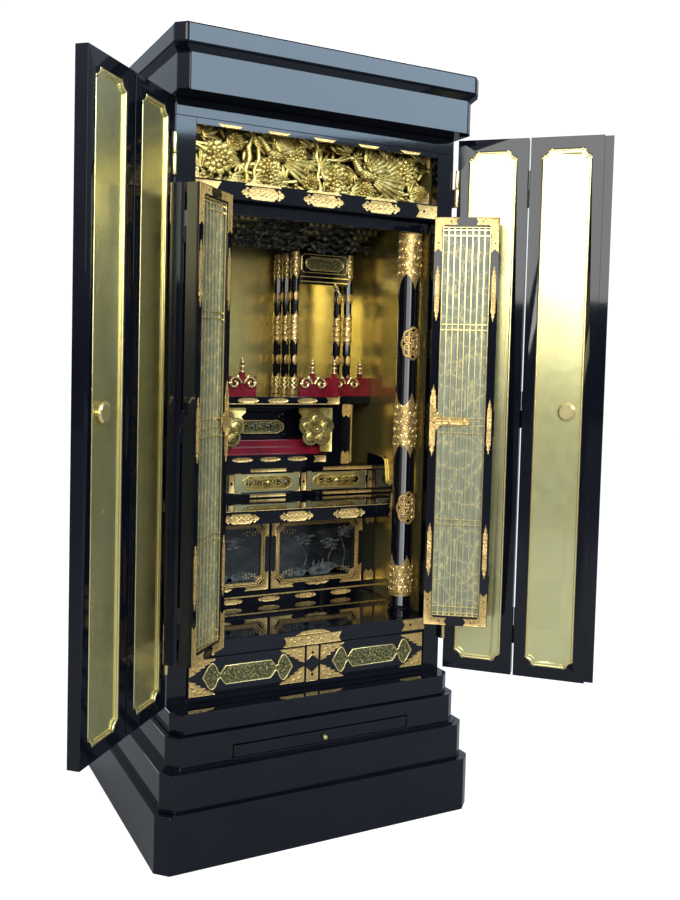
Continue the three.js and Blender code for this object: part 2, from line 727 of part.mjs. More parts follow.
// Transom: an openwork of birds, peonies, leaves and waves in a thin frame
const carvingFront = frontFace + transomSetback;
function ribbon(phase, height, swing) {
  const points = [];
  const steps = 14;
  for (const [from, to, lift] of [[0, steps, 4], [steps, 0, -4]]) {
    for (let i = from; from < to ? i <= to : i >= to; i += from < to ? 1 : -1) {
      const share = i / steps;
      const x = (share * 2 - 1) * (postInnerX - 3);
      points.push([x, height - lift + Math.sin(share * Math.PI * 4 + phase) * swing]);
    }
  }
  return slab(points, carvingFront + carvingDepth * 0.4, carvingFront + carvingDepth * 0.8);
}
function peony(x, z, size) {
  const parts = [lump(x, carvingFront + 9, z, size * 0.34, 9, size * 0.34, 0)];
  for (let i = 0; i < 5; i += 1) {
    const turn = (i * 2 * Math.PI) / 5 + 0.3;
    parts.push(lump(x + Math.cos(turn) * size * 0.52, carvingFront + 13, z + Math.sin(turn) * size * 0.5,
      size * 0.42, 8, size * 0.36, turn));
  }
  return parts;
}
function spray(x, z, size, lean) {
  return [-0.45, 0.45].map((turn) => lump(x + Math.cos(lean + turn) * size * 0.55, carvingFront + 15,
    z + Math.sin(lean + turn) * size * 0.55, size * 0.52, 6, size * 0.16, lean + turn));
}
function bird(x, z, way) {
  const parts = [
    lump(x, carvingFront + 10, z, 27, 10, 13, way * 0.3),
    lump(x + way * 27, carvingFront + 9, z + 15, 15, 6, 6, way * 0.9),
    lump(x + way * 35, carvingFront + 8, z + 27, 8, 6, 6.5, 0),
  ];
  for (let i = 0; i < 3; i += 1) {
    const turn = way > 0 ? Math.PI - 0.4 - i * 0.42 : 0.4 + i * 0.42;
    const wingX = x + Math.cos(turn) * 32;
    parts.push(lump(wingX, carvingFront + 8 + i, z + Math.sin(turn) * 26 + 4, 30, 5, 7.5, turn));
  }
  for (let i = 0; i < 2; i += 1) {
    const turn = way > 0 ? Math.PI + 0.16 + i * 0.34 : -0.16 - i * 0.34;
    const tailX = x + Math.cos(turn) * 55;
    parts.push(lump(tailX, carvingFront + 13 + i, z + Math.sin(turn) * 50, 40, 5, 7, turn));
  }
  return parts;
}
function transom() {
  const halfWidth = postInnerX - fit;
  const middle = (lintelTop + transomTop) / 2;
  const low = lintelTop + fit;
  const high = transomTop - fit;
  const back = carvingFront + carvingDepth;
  const edge = 7;
  const frame = cut(box(-halfWidth, halfWidth, carvingFront + 4, back, low, high),
    [box(-halfWidth + edge, halfWidth - edge, carvingFront - 1, back + 1, low + 6, high - 6)]);
  const parts = [
    frame,
    ribbon(0.4, middle - 26, 13),
    ribbon(2.4, middle + 6, 20),
    ribbon(4.2, middle + 30, 10),
  ];
  parts.push(...bird(-halfWidth * 0.3, middle + 6, 1), ...bird(halfWidth * 0.38, middle + 2, -1));
  const blooms = [[-0.74, 4, 38], [0.03, 8, 34], [0.75, 8, 36]];
  for (const [share, rise, size] of blooms) {
    parts.push(...peony(share * halfWidth, middle + rise, size));
  }
  const leafSize = transomHeight * 0.28;
  const leaves = [[-0.9, -18, 2.4], [-0.54, -30, 0.5], [-0.1, -34, 2.6], [0.2, -36, 0.4], [0.58, -28, 2.6],
    [0.9, -22, 0.6], [0.17, 36, 2.8], [-0.9, 36, 1.2]];
  for (const [share, rise, lean] of leaves) {
    parts.push(...spray(share * halfWidth, middle + rise, leafSize, lean));
  }
  const bounds = toSolid(box(-halfWidth, halfWidth, carvingFront, back, low, high));
  const bodies = toSolid(join(parts)).intersect(bounds).decompose();
  bodies.sort((a, b) => b.volume() - a.volume());
  return toGeometry(bodies[0]);
}
place("transom_carving", transom(), carvedGold);

// The moving half of a hinge: a knuckle above the joint's middle and a flap onto its leaf
function leafKnuckles(x, y, low, high, length, radius, flap) {
  return hingeHeights(low, high).flatMap((z) => [
    rod(x, y, z + fit, z + length / 2, radius, 6),
    box(...flap, z + fit, z + length / 2),
  ]);
}

function fixedKnuckles(x, y, low, high, length, radius, flap) {
  return hingeHeights(low, high).flatMap((z) => fixedKnuckle(x, y, z, length, radius, flap));
}

// An outer leaf, closed, measured from its hinge axis: x runs towards the cabinet's middle
function outerLeaf(start, first, coverStrip) {
  const end = start + outerLeafWidth;
  const recess = notched(start + outerStile, end - outerStile, outerDoorLow + outerRail,
    outerDoorHigh - outerRail, notch);
  const cuts = [slab(recess, -recessDepth, 1)];
  if (first) {
    cuts.push(...hingeHeights(outerDoorLow, outerDoorHigh).map((z) => rod(0, 0, z - outerHingeLength / 2 - 1,
      z + outerHingeLength / 2 + 1, outerKnuckle + 1, 8)));
  }
  const body = cut(box(start, end, -outerLeafThickness, 0, outerDoorLow, outerDoorHigh), cuts);
  const foldX = end + outerFoldGap / 2;
  const foldY = -outerLeafThickness;
  const parts = [body];
  if (first) {
    const flap = [0, start + outerKnuckle + 3, -flapThickness, 0];
    parts.push(...hingeHeights(outerDoorLow, outerDoorHigh).flatMap((z) => [
      rod(0, 0, z + fit, z + outerHingeLength / 2, outerKnuckle, 6),
      box(...flap, z + fit, z + outerHingeLength / 2),
    ]));
    const seam = [end - 2, foldX, foldY, foldY + flapThickness];
    parts.push(...fixedKnuckles(foldX, foldY, outerDoorLow, outerDoorHigh, outerHingeLength,
      seamKnuckle, seam));
  } else {
    const seam = [0, start + 2, 0, flapThickness].map((v, i) => (i > 1 ? v - outerLeafThickness : v));
    parts.push(...leafKnuckles(0, foldY, outerDoorLow, outerDoorHigh, outerHingeLength, seamKnuckle, seam));
  }
  if (coverStrip) {
    const stripBack = foldY + coverStripThickness;
    parts.push(box(end - 1, end + coverStripWidth, foldY, stripBack, outerDoorLow, outerDoorHigh));
  }
  return join(parts);
}

// The gold-leafed panel in an outer leaf: a thin plate with a moulded border
function goldPanel(start) {
  const x0 = start + outerStile + fit;
  const x1 = start + outerLeafWidth - outerStile - fit;
  const z0 = outerDoorLow + outerRail + fit;
  const z1 = outerDoorHigh - outerRail - fit;
  const m = panelMoulding;
  const ground = -recessDepth + fit;
  const plate = slab(notched(x0, x1, z0, z1, notch + fit), ground, ground + panelEdge);
  const sunk = slab(notched(x0 + m, x1 - m, z0 + m, z1 - m, notch), ground + panelPlate, 5);
  return cut(plate, [sunk]);
}

// A round pull on the leaf's gold side
function discKnob(x, z) {
  const profile = [[0, 0], [7, 0], [8, discKnobHeight * 0.5], [discKnobRadius, discKnobHeight * 0.6],
    [discKnobRadius, discKnobHeight * 0.8], [discKnobRadius * 0.8, discKnobHeight], [0, discKnobHeight]];
  const geometry = new THREE.LatheGeometry(profile.map(([r, h]) => new THREE.Vector2(r, h)), 16);
  geometry.translate(x, -recessDepth + 2 * fit + panelPlate, z);
  return closed(geometry);
}

const doorMiddle = (outerDoorLow + outerDoorHigh) / 2;
for (const side of [-1, 1]) {
  const word = side < 0 ? "left" : "right";
  const hand = side < 0 ? (geometry) => geometry : mirrored;
  const first = new THREE.Group();
  first.position.set(side * outerHingeX, outerHingeY, 0);
  first.rotation.z = side * (side < 0 ? outerOpenLeft : outerOpenRight);
  cabinet.add(first);
  const foldX = outerHingeEdge + outerLeafWidth + outerFoldGap / 2;
  const second = new THREE.Group();
  second.position.set(-side * foldX, 0, 0);
  first.add(second);
  place(`outer_leaf_${word}_1`, hand(outerLeaf(outerHingeEdge, true, false)), lacquer, first);
  place(`outer_panel_${word}_1`, hand(goldPanel(outerHingeEdge)), goldLeaf, first);
  place(`outer_leaf_${word}_2`, hand(outerLeaf(outerFoldGap / 2, false, side > 0)), lacquer, second);
  place(`outer_panel_${word}_2`, hand(goldPanel(outerFoldGap / 2)), goldLeaf, second);
  const knobX = outerFoldGap / 2 + outerLeafWidth - outerStile - 36;
  place(`outer_knob_${word}`, hand(discKnob(knobX, doorMiddle)), gilt, second);
}

// An inner leaf, closed: a frame round a lattice, its hinge axis in front of the face
const innerLeafWidth = postInnerX - innerHingeEdge - (innerFoldGap + innerMeetingGap / 2);
const innerLeaf = innerLeafWidth / 2;
const innerFace = innerHingeForward;
const innerBack = innerFace + innerLeafThickness;
function innerFrame(start, front, knuckles) {
  const end = start + innerLeaf;
  const back = front + innerLeafThickness;
  const body = cut(box(start, end, front, back, innerDoorLow, innerDoorHigh), [
    box(start + innerStile, end - innerStile, front - 1, back + 1, innerDoorLow + innerRailHeight,
      innerDoorHigh - innerRailHeight),
  ]);
  return join([body, ...knuckles]);
}

// Gauze backed by a row of upright bars, in one ribbed sheet
function lattice(start, front) {
  const x0 = start + innerStile + fit;
  const x1 = start + innerLeaf - innerStile - fit;
  const y0 = front + innerLeafThickness / 2 - latticeBarDepth - gauzeThickness / 2;
  const y1 = y0 + latticeBarDepth;
  const y2 = y1 + gauzeThickness;
  const points = [[x0, y2]];
  const pitch = (x1 - x0 - latticeBarWidth) / (latticeBars - 1);
  for (let i = 0; i < latticeBars; i += 1) {
    const x = x0 + i * pitch;
    points.push([x, i === 0 ? y0 : y1], [x, y0], [x + latticeBarWidth, y0], [x + latticeBarWidth, y1]);
  }
  points.push([x1, y2]);
  const outline = points.filter((p, i) => i === 0 || p[0] !== points[i - 1][0] || p[1] !== points[i - 1][1]);
  return closed(prism(outline, innerDoorLow + innerRailHeight + fit, innerDoorHigh - innerRailHeight - fit));
}

for (const side of [-1, 1]) {
  const word = side < 0 ? "left" : "right";
  const hand = side < 0 ? (geometry) => geometry : mirrored;
  const first = new THREE.Group();
  first.position.set(side * (postInnerX - 0.5), innerHingeY, 0);
  first.rotation.z = side * (side < 0 ? innerOpenLeft : innerOpenRight);
  cabinet.add(first);
  const startFirst = innerHingeEdge - 0.5;
  const foldX = startFirst + innerLeaf + innerFoldGap / 2;
  const foldY = innerBack + innerFoldBehind;
  const second = new THREE.Group();
  second.position.set(-side * foldX, foldY, 0);
  second.rotation.z = -side * (side < 0 ? innerFoldLeft : innerFoldRight);
  first.add(second);
  const postFlap = [0, hingeReach, 1, innerFace + 1];
  const seamFlap = [foldX - hingeReach, foldX, innerBack - 1, foldY];
  const knuckles = [
    ...leafKnuckles(0, 0, innerDoorLow, innerDoorHigh, innerHingeLength, innerKnuckle, postFlap),
    ...fixedKnuckles(foldX, foldY, innerDoorLow, innerDoorHigh, innerHingeLength, foldKnuckle, seamFlap),
  ];
  place(`inner_frame_${word}_1`, hand(innerFrame(startFirst, innerFace, knuckles)), lacquer, first);
  place(`inner_lattice_${word}_1`, hand(lattice(startFirst, innerFace)), gauze, first);
  const secondFront = innerFace - foldY;
  const secondBack = secondFront + innerLeafThickness;
  const secondFlap = [0, hingeReach, secondBack - 1, 0];
  const secondKnuckles = leafKnuckles(0, 0, innerDoorLow, innerDoorHigh, innerHingeLength, foldKnuckle,
    secondFlap);
  place(`inner_frame_${word}_2`, hand(innerFrame(innerFoldGap / 2, secondFront, secondKnuckles)), lacquer,
    second);
  place(`inner_lattice_${word}_2`, hand(lattice(innerFoldGap / 2, secondFront)), gauze, second);
}

export default cabinet;
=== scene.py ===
from math import atan2, cos, hypot, pi, radians, sin

import bmesh
import bpy
from mathutils import Matrix, Vector


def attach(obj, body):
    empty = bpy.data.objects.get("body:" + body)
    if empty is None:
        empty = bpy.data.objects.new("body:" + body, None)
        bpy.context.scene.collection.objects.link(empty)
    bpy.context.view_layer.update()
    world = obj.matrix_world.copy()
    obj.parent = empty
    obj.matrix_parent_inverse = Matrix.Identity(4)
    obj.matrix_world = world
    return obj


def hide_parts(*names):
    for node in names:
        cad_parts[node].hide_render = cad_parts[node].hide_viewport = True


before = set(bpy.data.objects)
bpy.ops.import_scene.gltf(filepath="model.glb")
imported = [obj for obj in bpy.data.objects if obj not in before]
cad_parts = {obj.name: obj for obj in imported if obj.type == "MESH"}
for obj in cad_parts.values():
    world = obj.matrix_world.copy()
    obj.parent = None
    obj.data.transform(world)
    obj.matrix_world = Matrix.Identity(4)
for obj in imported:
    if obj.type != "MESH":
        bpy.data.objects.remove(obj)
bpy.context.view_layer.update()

# The view: the camera stands to the left of the cabinet at chest height, turned towards its open doors.
# Plain pale floor and soft studio light, with long pale cards for the lacquer to mirror.
yaw, pitch, roll = 0.4816, -0.0503, 0.0261
ahead = Vector((sin(yaw) * cos(pitch), cos(yaw) * cos(pitch), sin(pitch)))
level = Vector((cos(yaw), -sin(yaw), 0))
across = cos(roll) * level + sin(roll) * level.cross(ahead)
upward = -sin(roll) * level + cos(roll) * level.cross(ahead)
camera = bpy.data.objects.new("camera", bpy.data.cameras.new("camera"))
bpy.context.scene.collection.objects.link(camera)
eye = (-0.9385, -2.1144, 1.0431)
turned = Matrix((across, upward, -ahead)).transposed().to_4x4()
camera.matrix_world = Matrix.Translation(eye) @ turned
camera.data.sensor_width = 36
camera.data.lens = 38.206
camera.data.shift_y = -40 / 900
bpy.context.scene.camera = camera

floor_mesh = bmesh.new()
bmesh.ops.create_grid(floor_mesh, x_segments=1, y_segments=1, size=12)
floor_data = bpy.data.meshes.new("floor")
floor_mesh.to_mesh(floor_data)
floor = bpy.data.objects.new("floor", floor_data)
bpy.context.scene.collection.objects.link(floor)
floor.location.z = -0.0005
pale_floor = bpy.data.materials.new("pale_floor")
pale_floor.use_nodes = True
paint = pale_floor.node_tree.nodes["Principled BSDF"].inputs
paint["Base Color"].default_value = (0.34, 0.34, 0.35, 1)
paint["Roughness"].default_value = 0.9
paint["Specular IOR Level"].default_value = 0.1
paint["Emission Color"].default_value = (0.82, 0.81, 0.8, 1)
seen = pale_floor.node_tree.nodes.new("ShaderNodeLightPath")
pale_floor.node_tree.links.new(seen.outputs["Is Camera Ray"], paint["Emission Strength"])
floor.data.materials.append(pale_floor)

world = bpy.data.worlds.new("studio")
bpy.context.scene.world = world
world.use_nodes = True
air = world.node_tree
towards = air.nodes.new("ShaderNodeTexCoord")
split = air.nodes.new("ShaderNodeSeparateXYZ")
sky = air.nodes.new("ShaderNodeValToRGB")
sky.color_ramp.elements[0].position = 0.0
sky.color_ramp.elements[0].color = (0.10, 0.11, 0.13, 1)
sky.color_ramp.elements[1].position = 0.32
sky.color_ramp.elements[1].color = (0.62, 0.70, 0.80, 1)
backdrop = air.nodes.new("ShaderNodeBackground")
backdrop.inputs["Color"].default_value = (1, 1, 1, 1)
backdrop.inputs["Strength"].default_value = 1.05
path = air.nodes.new("ShaderNodeLightPath")
either = air.nodes.new("ShaderNodeMixShader")
air.nodes["Background"].inputs["Strength"].default_value = 0.95
air.links.new(towards.outputs["Generated"], split.inputs["Vector"])
air.links.new(split.outputs["Z"], sky.inputs["Fac"])
air.links.new(sky.outputs["Color"], air.nodes["Background"].inputs["Color"])
air.links.new(path.outputs["Is Camera Ray"], either.inputs["Fac"])
air.links.new(air.nodes["Background"].outputs["Background"], either.inputs[1])
air.links.new(backdrop.outputs["Background"], either.inputs[2])
air.links.new(either.outputs["Shader"], air.nodes["World Output"].inputs["Surface"])
bpy.context.scene.view_settings.view_transform = "Standard"


def lamp(name, place, aim, width, height, power, tint):
    light = bpy.data.lights.new(name, "AREA")
    light.shape = "RECTANGLE"
    light.size, light.size_y = width, height
    light.energy = power
    light.color = tint
    holder = bpy.data.objects.new(name, light)
    bpy.context.scene.collection.objects.link(holder)
    holder.location = place
    holder.rotation_euler = (Vector(aim) - Vector(place)).to_track_quat("-Z", "Y").to_euler()


lamp("key", (-1.85, -3.0, 2.35), (0.3, 0, 1.1), 2.2, 1.9, 82, (1, 0.99, 0.96))
lamp("window", (1.35, -3.1, 2.75), (0, -0.3, 1.55), 2.9, 0.95, 88, (0.6, 0.81, 1.0))
lamp("fill", (-0.2, -2.9, 1.5), (0.1, 0, 0.95), 1.0, 0.8, 26, (1, 0.99, 0.95))
lamp("behind", (0.6, 3.0, 2.8), (0, 0, 0.6), 3.0, 1.5, 60, (0.95, 0.97, 1.0))


# Black lacquer: many thin coats over wood, rubbed and polished until it mirrors the room.
# A faint cloudiness in the polish and the finest orange peel are all that break it.
def shade(name, **settings):
    finish = bpy.data.materials.new(name)
    finish.use_nodes = True
    tree = finish.node_tree
    shader = tree.nodes["Principled BSDF"]
    for key, value in settings.items():
        shader.inputs[key].default_value = value
    return finish, tree, shader


def knot(tree, kind, **values):
    made = tree.nodes.new(kind)
    for key, value in values.items():
        if key in made.inputs:
            made.inputs[key].default_value = value
        else:
            setattr(made, key, value)
    return made


def grain(tree, scale, detail=4.0, rough=0.55, stretch=(1, 1, 1)):
    where = knot(tree, "ShaderNodeTexCoord")
    turn = knot(tree, "ShaderNodeMapping")
    turn.inputs["Scale"].default_value = stretch
    noise = knot(tree, "ShaderNodeTexNoise", Scale=scale, Detail=detail, Roughness=rough)
    tree.links.new(where.outputs["Object"], turn.inputs["Vector"])
    tree.links.new(turn.outputs["Vector"], noise.inputs["Vector"])
    return noise


def ramp(tree, source, stops):
    blend = knot(tree, "ShaderNodeValToRGB")
    band = blend.color_ramp
    while len(band.elements) < len(stops):
        band.elements.new(0.5)
    for element, (place, colour) in zip(band.elements, stops):
        element.position = place
        element.color = (*colour, 1)
    tree.links.new(source, blend.inputs["Fac"])
    return blend


def tint(tree, shader, source, stops):
    tree.links.new(ramp(tree, source, stops).outputs["Color"], shader.inputs["Base Color"])


def rubbed(tree, shader, source, least, most):
    """Roughness that wanders between two values."""
    polish = knot(tree, "ShaderNodeMapRange", **{"To Min": least, "To Max": most})
    tree.links.new(source, polish.inputs["Value"])
    tree.links.new(polish.outputs["Result"], shader.inputs["Roughness"])


def relief(tree, shader, source, strength, depth):
    bump = knot(tree, "ShaderNodeBump", Strength=strength, Distance=depth)
    tree.links.new(source, bump.inputs["Height"])
    tree.links.new(bump.outputs["Normal"], shader.inputs["Normal"])


def black_lacquer():
    finish, tree, shader = shade("black_lacquer", IOR=1.42)
    tint(tree, shader, grain(tree, 9, 5).outputs["Fac"],
         [(0.3, (0.0018, 0.0024, 0.0048)), (0.7, (0.0034, 0.0042, 0.0072))])
    rubbed(tree, shader, grain(tree, 26, 6, 0.6).outputs["Fac"], 0.03, 0.075)
    relief(tree, shader, grain(tree, 120, 2).outputs["Fac"], 0.03, 0.0004)
    return finish


lacquer = black_lacquer()


def dress(node, finish, edge=0.0009):
    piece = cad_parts[node]
    piece.data.materials.clear()
    piece.data.materials.append(finish)
    weld = piece.modifiers.new("weld", "WELD")
    weld.merge_threshold = 0.00002
    if edge:
        arris = piece.modifiers.new("arris", "BEVEL")
        arris.width = edge
        arris.segments = 2
        arris.limit_method = "ANGLE"
        arris.angle_limit = radians(35)


def put(name, shape, finish, body="cabinet", stands_for=(), crease=32):
    bmesh.ops.remove_doubles(shape, verts=shape.verts, dist=0.000004)
    bmesh.ops.recalc_face_normals(shape, faces=shape.faces)
    for face in shape.faces:
        face.smooth = True
    data = bpy.data.meshes.new(name)
    shape.to_mesh(data)
    shape.free()
    data.set_sharp_from_angle(angle=radians(crease))
    data.materials.append(finish)
    piece = bpy.data.objects.new(name, data)
    bpy.context.scene.collection.objects.link(piece)
    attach(piece, body)
    if stands_for:
        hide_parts(*stands_for)


# Gilt brass fittings: thin sheet cut to a scalloped outline, chased with scrolls on a punched ground,
# fire-gilt and pinned flat on the lacquer. The chased lines are painted darker, as painted shade in their
# hollows.
def gilt_brass():
    finish, tree, shader = shade("gilt_brass", Metallic=0.72)
    where = knot(tree, "ShaderNodeTexCoord")
    warp = knot(tree, "ShaderNodeTexNoise", Scale=70.0, Detail=2.0)
    tree.links.new(where.outputs["Object"], warp.inputs["Vector"])
    sway = knot(tree, "ShaderNodeMixRGB", blend_type="ADD")
    sway.inputs["Fac"].default_value = 0.016
    tree.links.new(where.outputs["Object"], sway.inputs["Color1"])
    tree.links.new(warp.outputs["Color"], sway.inputs["Color2"])
    scroll = knot(tree, "ShaderNodeTexVoronoi", Scale=230.0)
    scroll.feature = "DISTANCE_TO_EDGE"
    tree.links.new(sway.outputs["Color"], scroll.inputs["Vector"])
    # The dark first stop, along the edges of the chased cells, is painted shade in the chased lines.
    tint(tree, shader, scroll.outputs["Distance"], [(0.0, (0.20, 0.10, 0.02)), (0.07, (0.62, 0.40, 0.13)),
        (0.22, (0.80, 0.58, 0.24))])
    rubbed(tree, shader, grain(tree, 60, 4).outputs["Fac"], 0.3, 0.46)
    relief(tree, shader, scroll.outputs["Distance"], 0.7, 0.001)
    return finish


gilt = gilt_brass()


def bright_gilt():
    finish, tree, shader = shade("bright_gilt", Metallic=0.85, Roughness=0.24)
    tint(tree, shader, grain(tree, 70, 4).outputs["Fac"],
         [(0.3, (0.86, 0.72, 0.36)), (0.7, (0.74, 0.59, 0.25))])
    relief(tree, shader, grain(tree, 300, 2).outputs["Fac"], 0.08, 0.0004)
    return finish


bright = bright_gilt()


def facing(y):
    """The front of the cabinet at depth y: outlines drawn in X and Z, standing out towards the viewer."""
    return Matrix(((1, 0, 0, 0), (0, 0, -1, y), (0, 1, 0, 0), (0, 0, 0, 1)))


def oblong(x0, x1, z0, z1):
    return [(x0, z0), (x1, z0), (x1, z1), (x0, z1)]


def sized(outline, width, height, x=0.0, z=0.0):
    """An outline placed, and sized or mirrored by a factor each way."""
    return [(x + u * width, z + v * height) for u, v in outline]


def four_ways(quarter):
    """A quarter outline, from the top middle round to the right tip, mirrored into the whole one."""
    right = list(quarter) + [(x, -z) for x, z in reversed(quarter)]
    clean = []
    for point in right + [(-x, z) for x, z in reversed(right)]:
        if not clean or hypot(point[0] - clean[-1][0], point[1] - clean[-1][1]) > 1e-5:
            clean.append(point)
    if hypot(clean[0][0] - clean[-1][0], clean[0][1] - clean[-1][1]) < 1e-5:
        clean.pop()
    return clean


def gather(shape, small):
    """Adds a small finished shape to a large one."""
    carrier = bpy.data.meshes.new("carrier")
    small.to_mesh(carrier)
    small.free()
    shape.from_mesh(carrier)
    bpy.data.meshes.remove(carrier)


def sheet_cut(shape, outline, place, thick=0.0014, rim=0.0012, sink=0.0005):
    """One plate cut from sheet, with a raised rim round its chased field."""
    plate = bmesh.new()
    back = plate.faces.new([plate.verts.new(place @ Vector((u, v, 0))) for u, v in outline])
    lifted = bmesh.ops.extrude_face_region(plate, geom=[back])
    front = [item for item in lifted["geom"] if isinstance(item, bmesh.types.BMFace)]
    risen = [item for item in lifted["geom"] if isinstance(item, bmesh.types.BMVert)]
    out = (place.to_3x3() @ Vector((0, 0, 1))).normalized()
    bmesh.ops.translate(plate, verts=risen, vec=out * thick)
    plate.normal_update()
    if rim:
        bmesh.ops.inset_region(plate, faces=front, thickness=rim, depth=0, use_even_offset=True)
        bmesh.ops.translate(plate, verts=list(dict.fromkeys(v for f in front for v in f.verts)),
                            vec=-out * sink)
    gather(shape, plate)


def rim_cut(shape, outline, place, width, tall):
    """A raised border of even width along an outline, open inside."""
    border = bmesh.new()
    inner = border.faces.new([border.verts.new(place @ Vector((u, v, 0))) for u, v in outline])
    border.normal_update()
    band = bmesh.ops.inset_region(border, faces=[inner], use_boundary=True, thickness=width, depth=0,
                                  use_even_offset=True)["faces"]
    bmesh.ops.delete(border, geom=[inner], context="FACES_ONLY")
    lifted = bmesh.ops.extrude_face_region(border, geom=band)["geom"]
    out = (place.to_3x3() @ Vector((0, 0, 1))).normalized()
    bmesh.ops.translate(border, verts=[item for item in lifted if isinstance(item, bmesh.types.BMVert)],
                        vec=out * tall)
    crest = [item for item in lifted if isinstance(item, bmesh.types.BMFace)]
    border.normal_update()
    bmesh.ops.inset_region(border, faces=crest, thickness=width * 0.22, depth=0, use_even_offset=True)
    bmesh.ops.translate(border, verts=list(dict.fromkeys(v for f in crest for v in f.verts)),
                        vec=out * width * 0.2)
    gather(shape, border)


lumps = {}


def bead(shape, place, centre, half, turn=0.0, sides=8, rings=5):
    """One rounded lump of carving, half its size each way, turned in the plane of the carving."""
    if (sides, rings) not in lumps:
        ball = bmesh.new()
        bmesh.ops.create_uvsphere(ball, u_segments=sides, v_segments=rings, radius=1)
        lump = bpy.data.meshes.new("lump")
        ball.to_mesh(lump)
        ball.free()
        lumps[sides, rings] = lump
    lump = lumps[sides, rings].copy()
    lump.transform(place @ Matrix.Translation(Vector(centre)) @ Matrix.Rotation(turn, 4,
        "Z") @ Matrix.Diagonal((*half, 1)))
    shape.from_mesh(lump)
    bpy.data.meshes.remove(lump)


# Plinth: four lacquered frames of wood, each smaller than the one below, with the front corners cut off.
# A thin fillet lies on the second. The shallow drawer in the third has one turned brass pull.
for tier in (1, 2, 3, 4):
    dress(f"plinth_tier_{tier}", lacquer, 0.0022)
dress("plinth_drawer", lacquer, 0.0007)
dress("plinth_drawer_knob", bright, 0.0003)
fillet = bmesh.new()
half, front, cut = 0.3585, -0.2888, 0.0245
ring = [(-half, 0.308), (-half, front + cut), (-half + cut, front), (half - cut, front),
        (half, front + cut), (half, 0.308)]
top_of_second = Matrix.Translation((0, 0, 0.2003))
sheet_cut(fillet, ring, top_of_second, 0.0045, 0.0, 0)
bmesh.ops.delete(fillet, geom=[f for f in fillet.faces
                               if abs(f.normal.z) > 0.5 and f.calc_center_median().z < 0.202],
                 context="FACES_ONLY")
bmesh.ops.holes_fill(fillet, edges=[e for e in fillet.edges if e.is_boundary])
put("plinth_fillet", fillet, lacquer)

# Case: two front posts, plain sides, a head rail under the crown, all lacquered.
# The crown is a hollow block with a cove and a slab.
for side in ("left", "right"):
    dress(f"front_post_{side}", lacquer, 0.0009)
    dress(f"case_side_{side}", lacquer, 0.001)
dress("head_rail", lacquer, 0.0012)
dress("crown_block", lacquer, 0.0022)
dress("crown_slab", lacquer, 0.0045)
dress("drawer_bay_floor", lacquer)
dress("altar_floor", lacquer)

# Gilded lining: the walls, ceiling and back of the shrine, covered with squares of gold leaf.
# The leaf's overlaps show as faint lines, and it is paler where it is rubbed.
def gold_leaf(name, pale, deep, across_scale=1.0):
    finish, tree, shader = shade(name, Metallic=0.9)
    tone = ramp(tree, grain(tree, 5, 5, 0.6).outputs["Fac"], [(0.3, deep), (0.7, pale)])
    where = knot(tree, "ShaderNodeTexCoord")
    squares = knot(tree, "ShaderNodeTexVoronoi", Scale=9.2 * across_scale)
    squares.distance = "CHEBYCHEV"
    squares.inputs["Randomness"].default_value = 0.12
    tree.links.new(where.outputs["Object"], squares.inputs["Vector"])
    patch = ramp(tree, squares.outputs["Color"], [(0.2, (0.93, 0.93, 0.93)), (0.8, (1, 1, 1))])
    mixed = knot(tree, "ShaderNodeMixRGB", blend_type="MULTIPLY")
    mixed.inputs["Fac"].default_value = 1.0
    tree.links.new(tone.outputs["Color"], mixed.inputs["Color1"])
    tree.links.new(patch.outputs["Color"], mixed.inputs["Color2"])
    tree.links.new(mixed.outputs["Color"], shader.inputs["Base Color"])
    rubbed(tree, shader, grain(tree, 40, 6, 0.65).outputs["Fac"], 0.2, 0.3)
    relief(tree, shader, grain(tree, 220, 3).outputs["Fac"], 0.1, 0.0005)
    return finish


wall_leaf = gold_leaf("wall_leaf", (0.78, 0.66, 0.26), (0.66, 0.53, 0.17))
dress("gilded_lining", wall_leaf, 0)

# Back: three plain boards set behind the lining, brushed with thin black that leaves the grain to be felt.
def black_wash():
    finish, tree, shader = shade("black_wash", Roughness=0.42)
    tint(tree, shader, grain(tree, 40, 4).outputs["Fac"],
         [(0.3, (0.009, 0.009, 0.010)), (0.7, (0.020, 0.020, 0.021))])
    relief(tree, shader, grain(tree, 90, 3).outputs["Fac"], 0.15, 0.0005)
    return finish


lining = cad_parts["gilded_lining"]
low, high = (lining.matrix_world @ Vector(lining.bound_box[corner]) for corner in (0, 6))
boards = bmesh.new()
for column in (-1, 0, 1):
    board = Matrix.Translation((column * (high.x - low.x) / 3, high.y + 0.0044, (low.z + high.z) / 2))
    size = Matrix.Diagonal(((high.x - low.x) / 3 - 0.0006, 0.008, high.z - low.z - 0.0006, 1))
    bmesh.ops.create_cube(boards, size=1, matrix=board @ size)
bmesh.ops.bevel(boards, geom=boards.edges, offset=0.001, segments=1, affect="EDGES")
put("back_boards", boards, black_wash())

# Outer doors: two solid leaves a side, black outside, each with a sunk panel of gold leaf inside.
# A stepped gilt moulding with notched corners frames each panel. The outer leaves carry a round pull.
door_leaf = gold_leaf("door_leaf", (0.84, 0.79, 0.42), (0.74, 0.69, 0.30), 0.9)
outer_axis = (0.343, -0.226)
outer_turn = {-1: radians(133.5), 1: radians(135)}


def outer_place(side, depth):
    """Drawn in distance from the hinge and height, on the leaf's inside face, sunk by depth."""
    swing = Matrix.Translation((side * outer_axis[0], outer_axis[1],
                                0)) @ Matrix.Rotation(side * outer_turn[side], 4, "Z")
    return swing @ Matrix(((-side, 0, 0, 0), (0, 0, 1, -depth), (0, 1, 0, 0), (0, 0, 0, 1)))


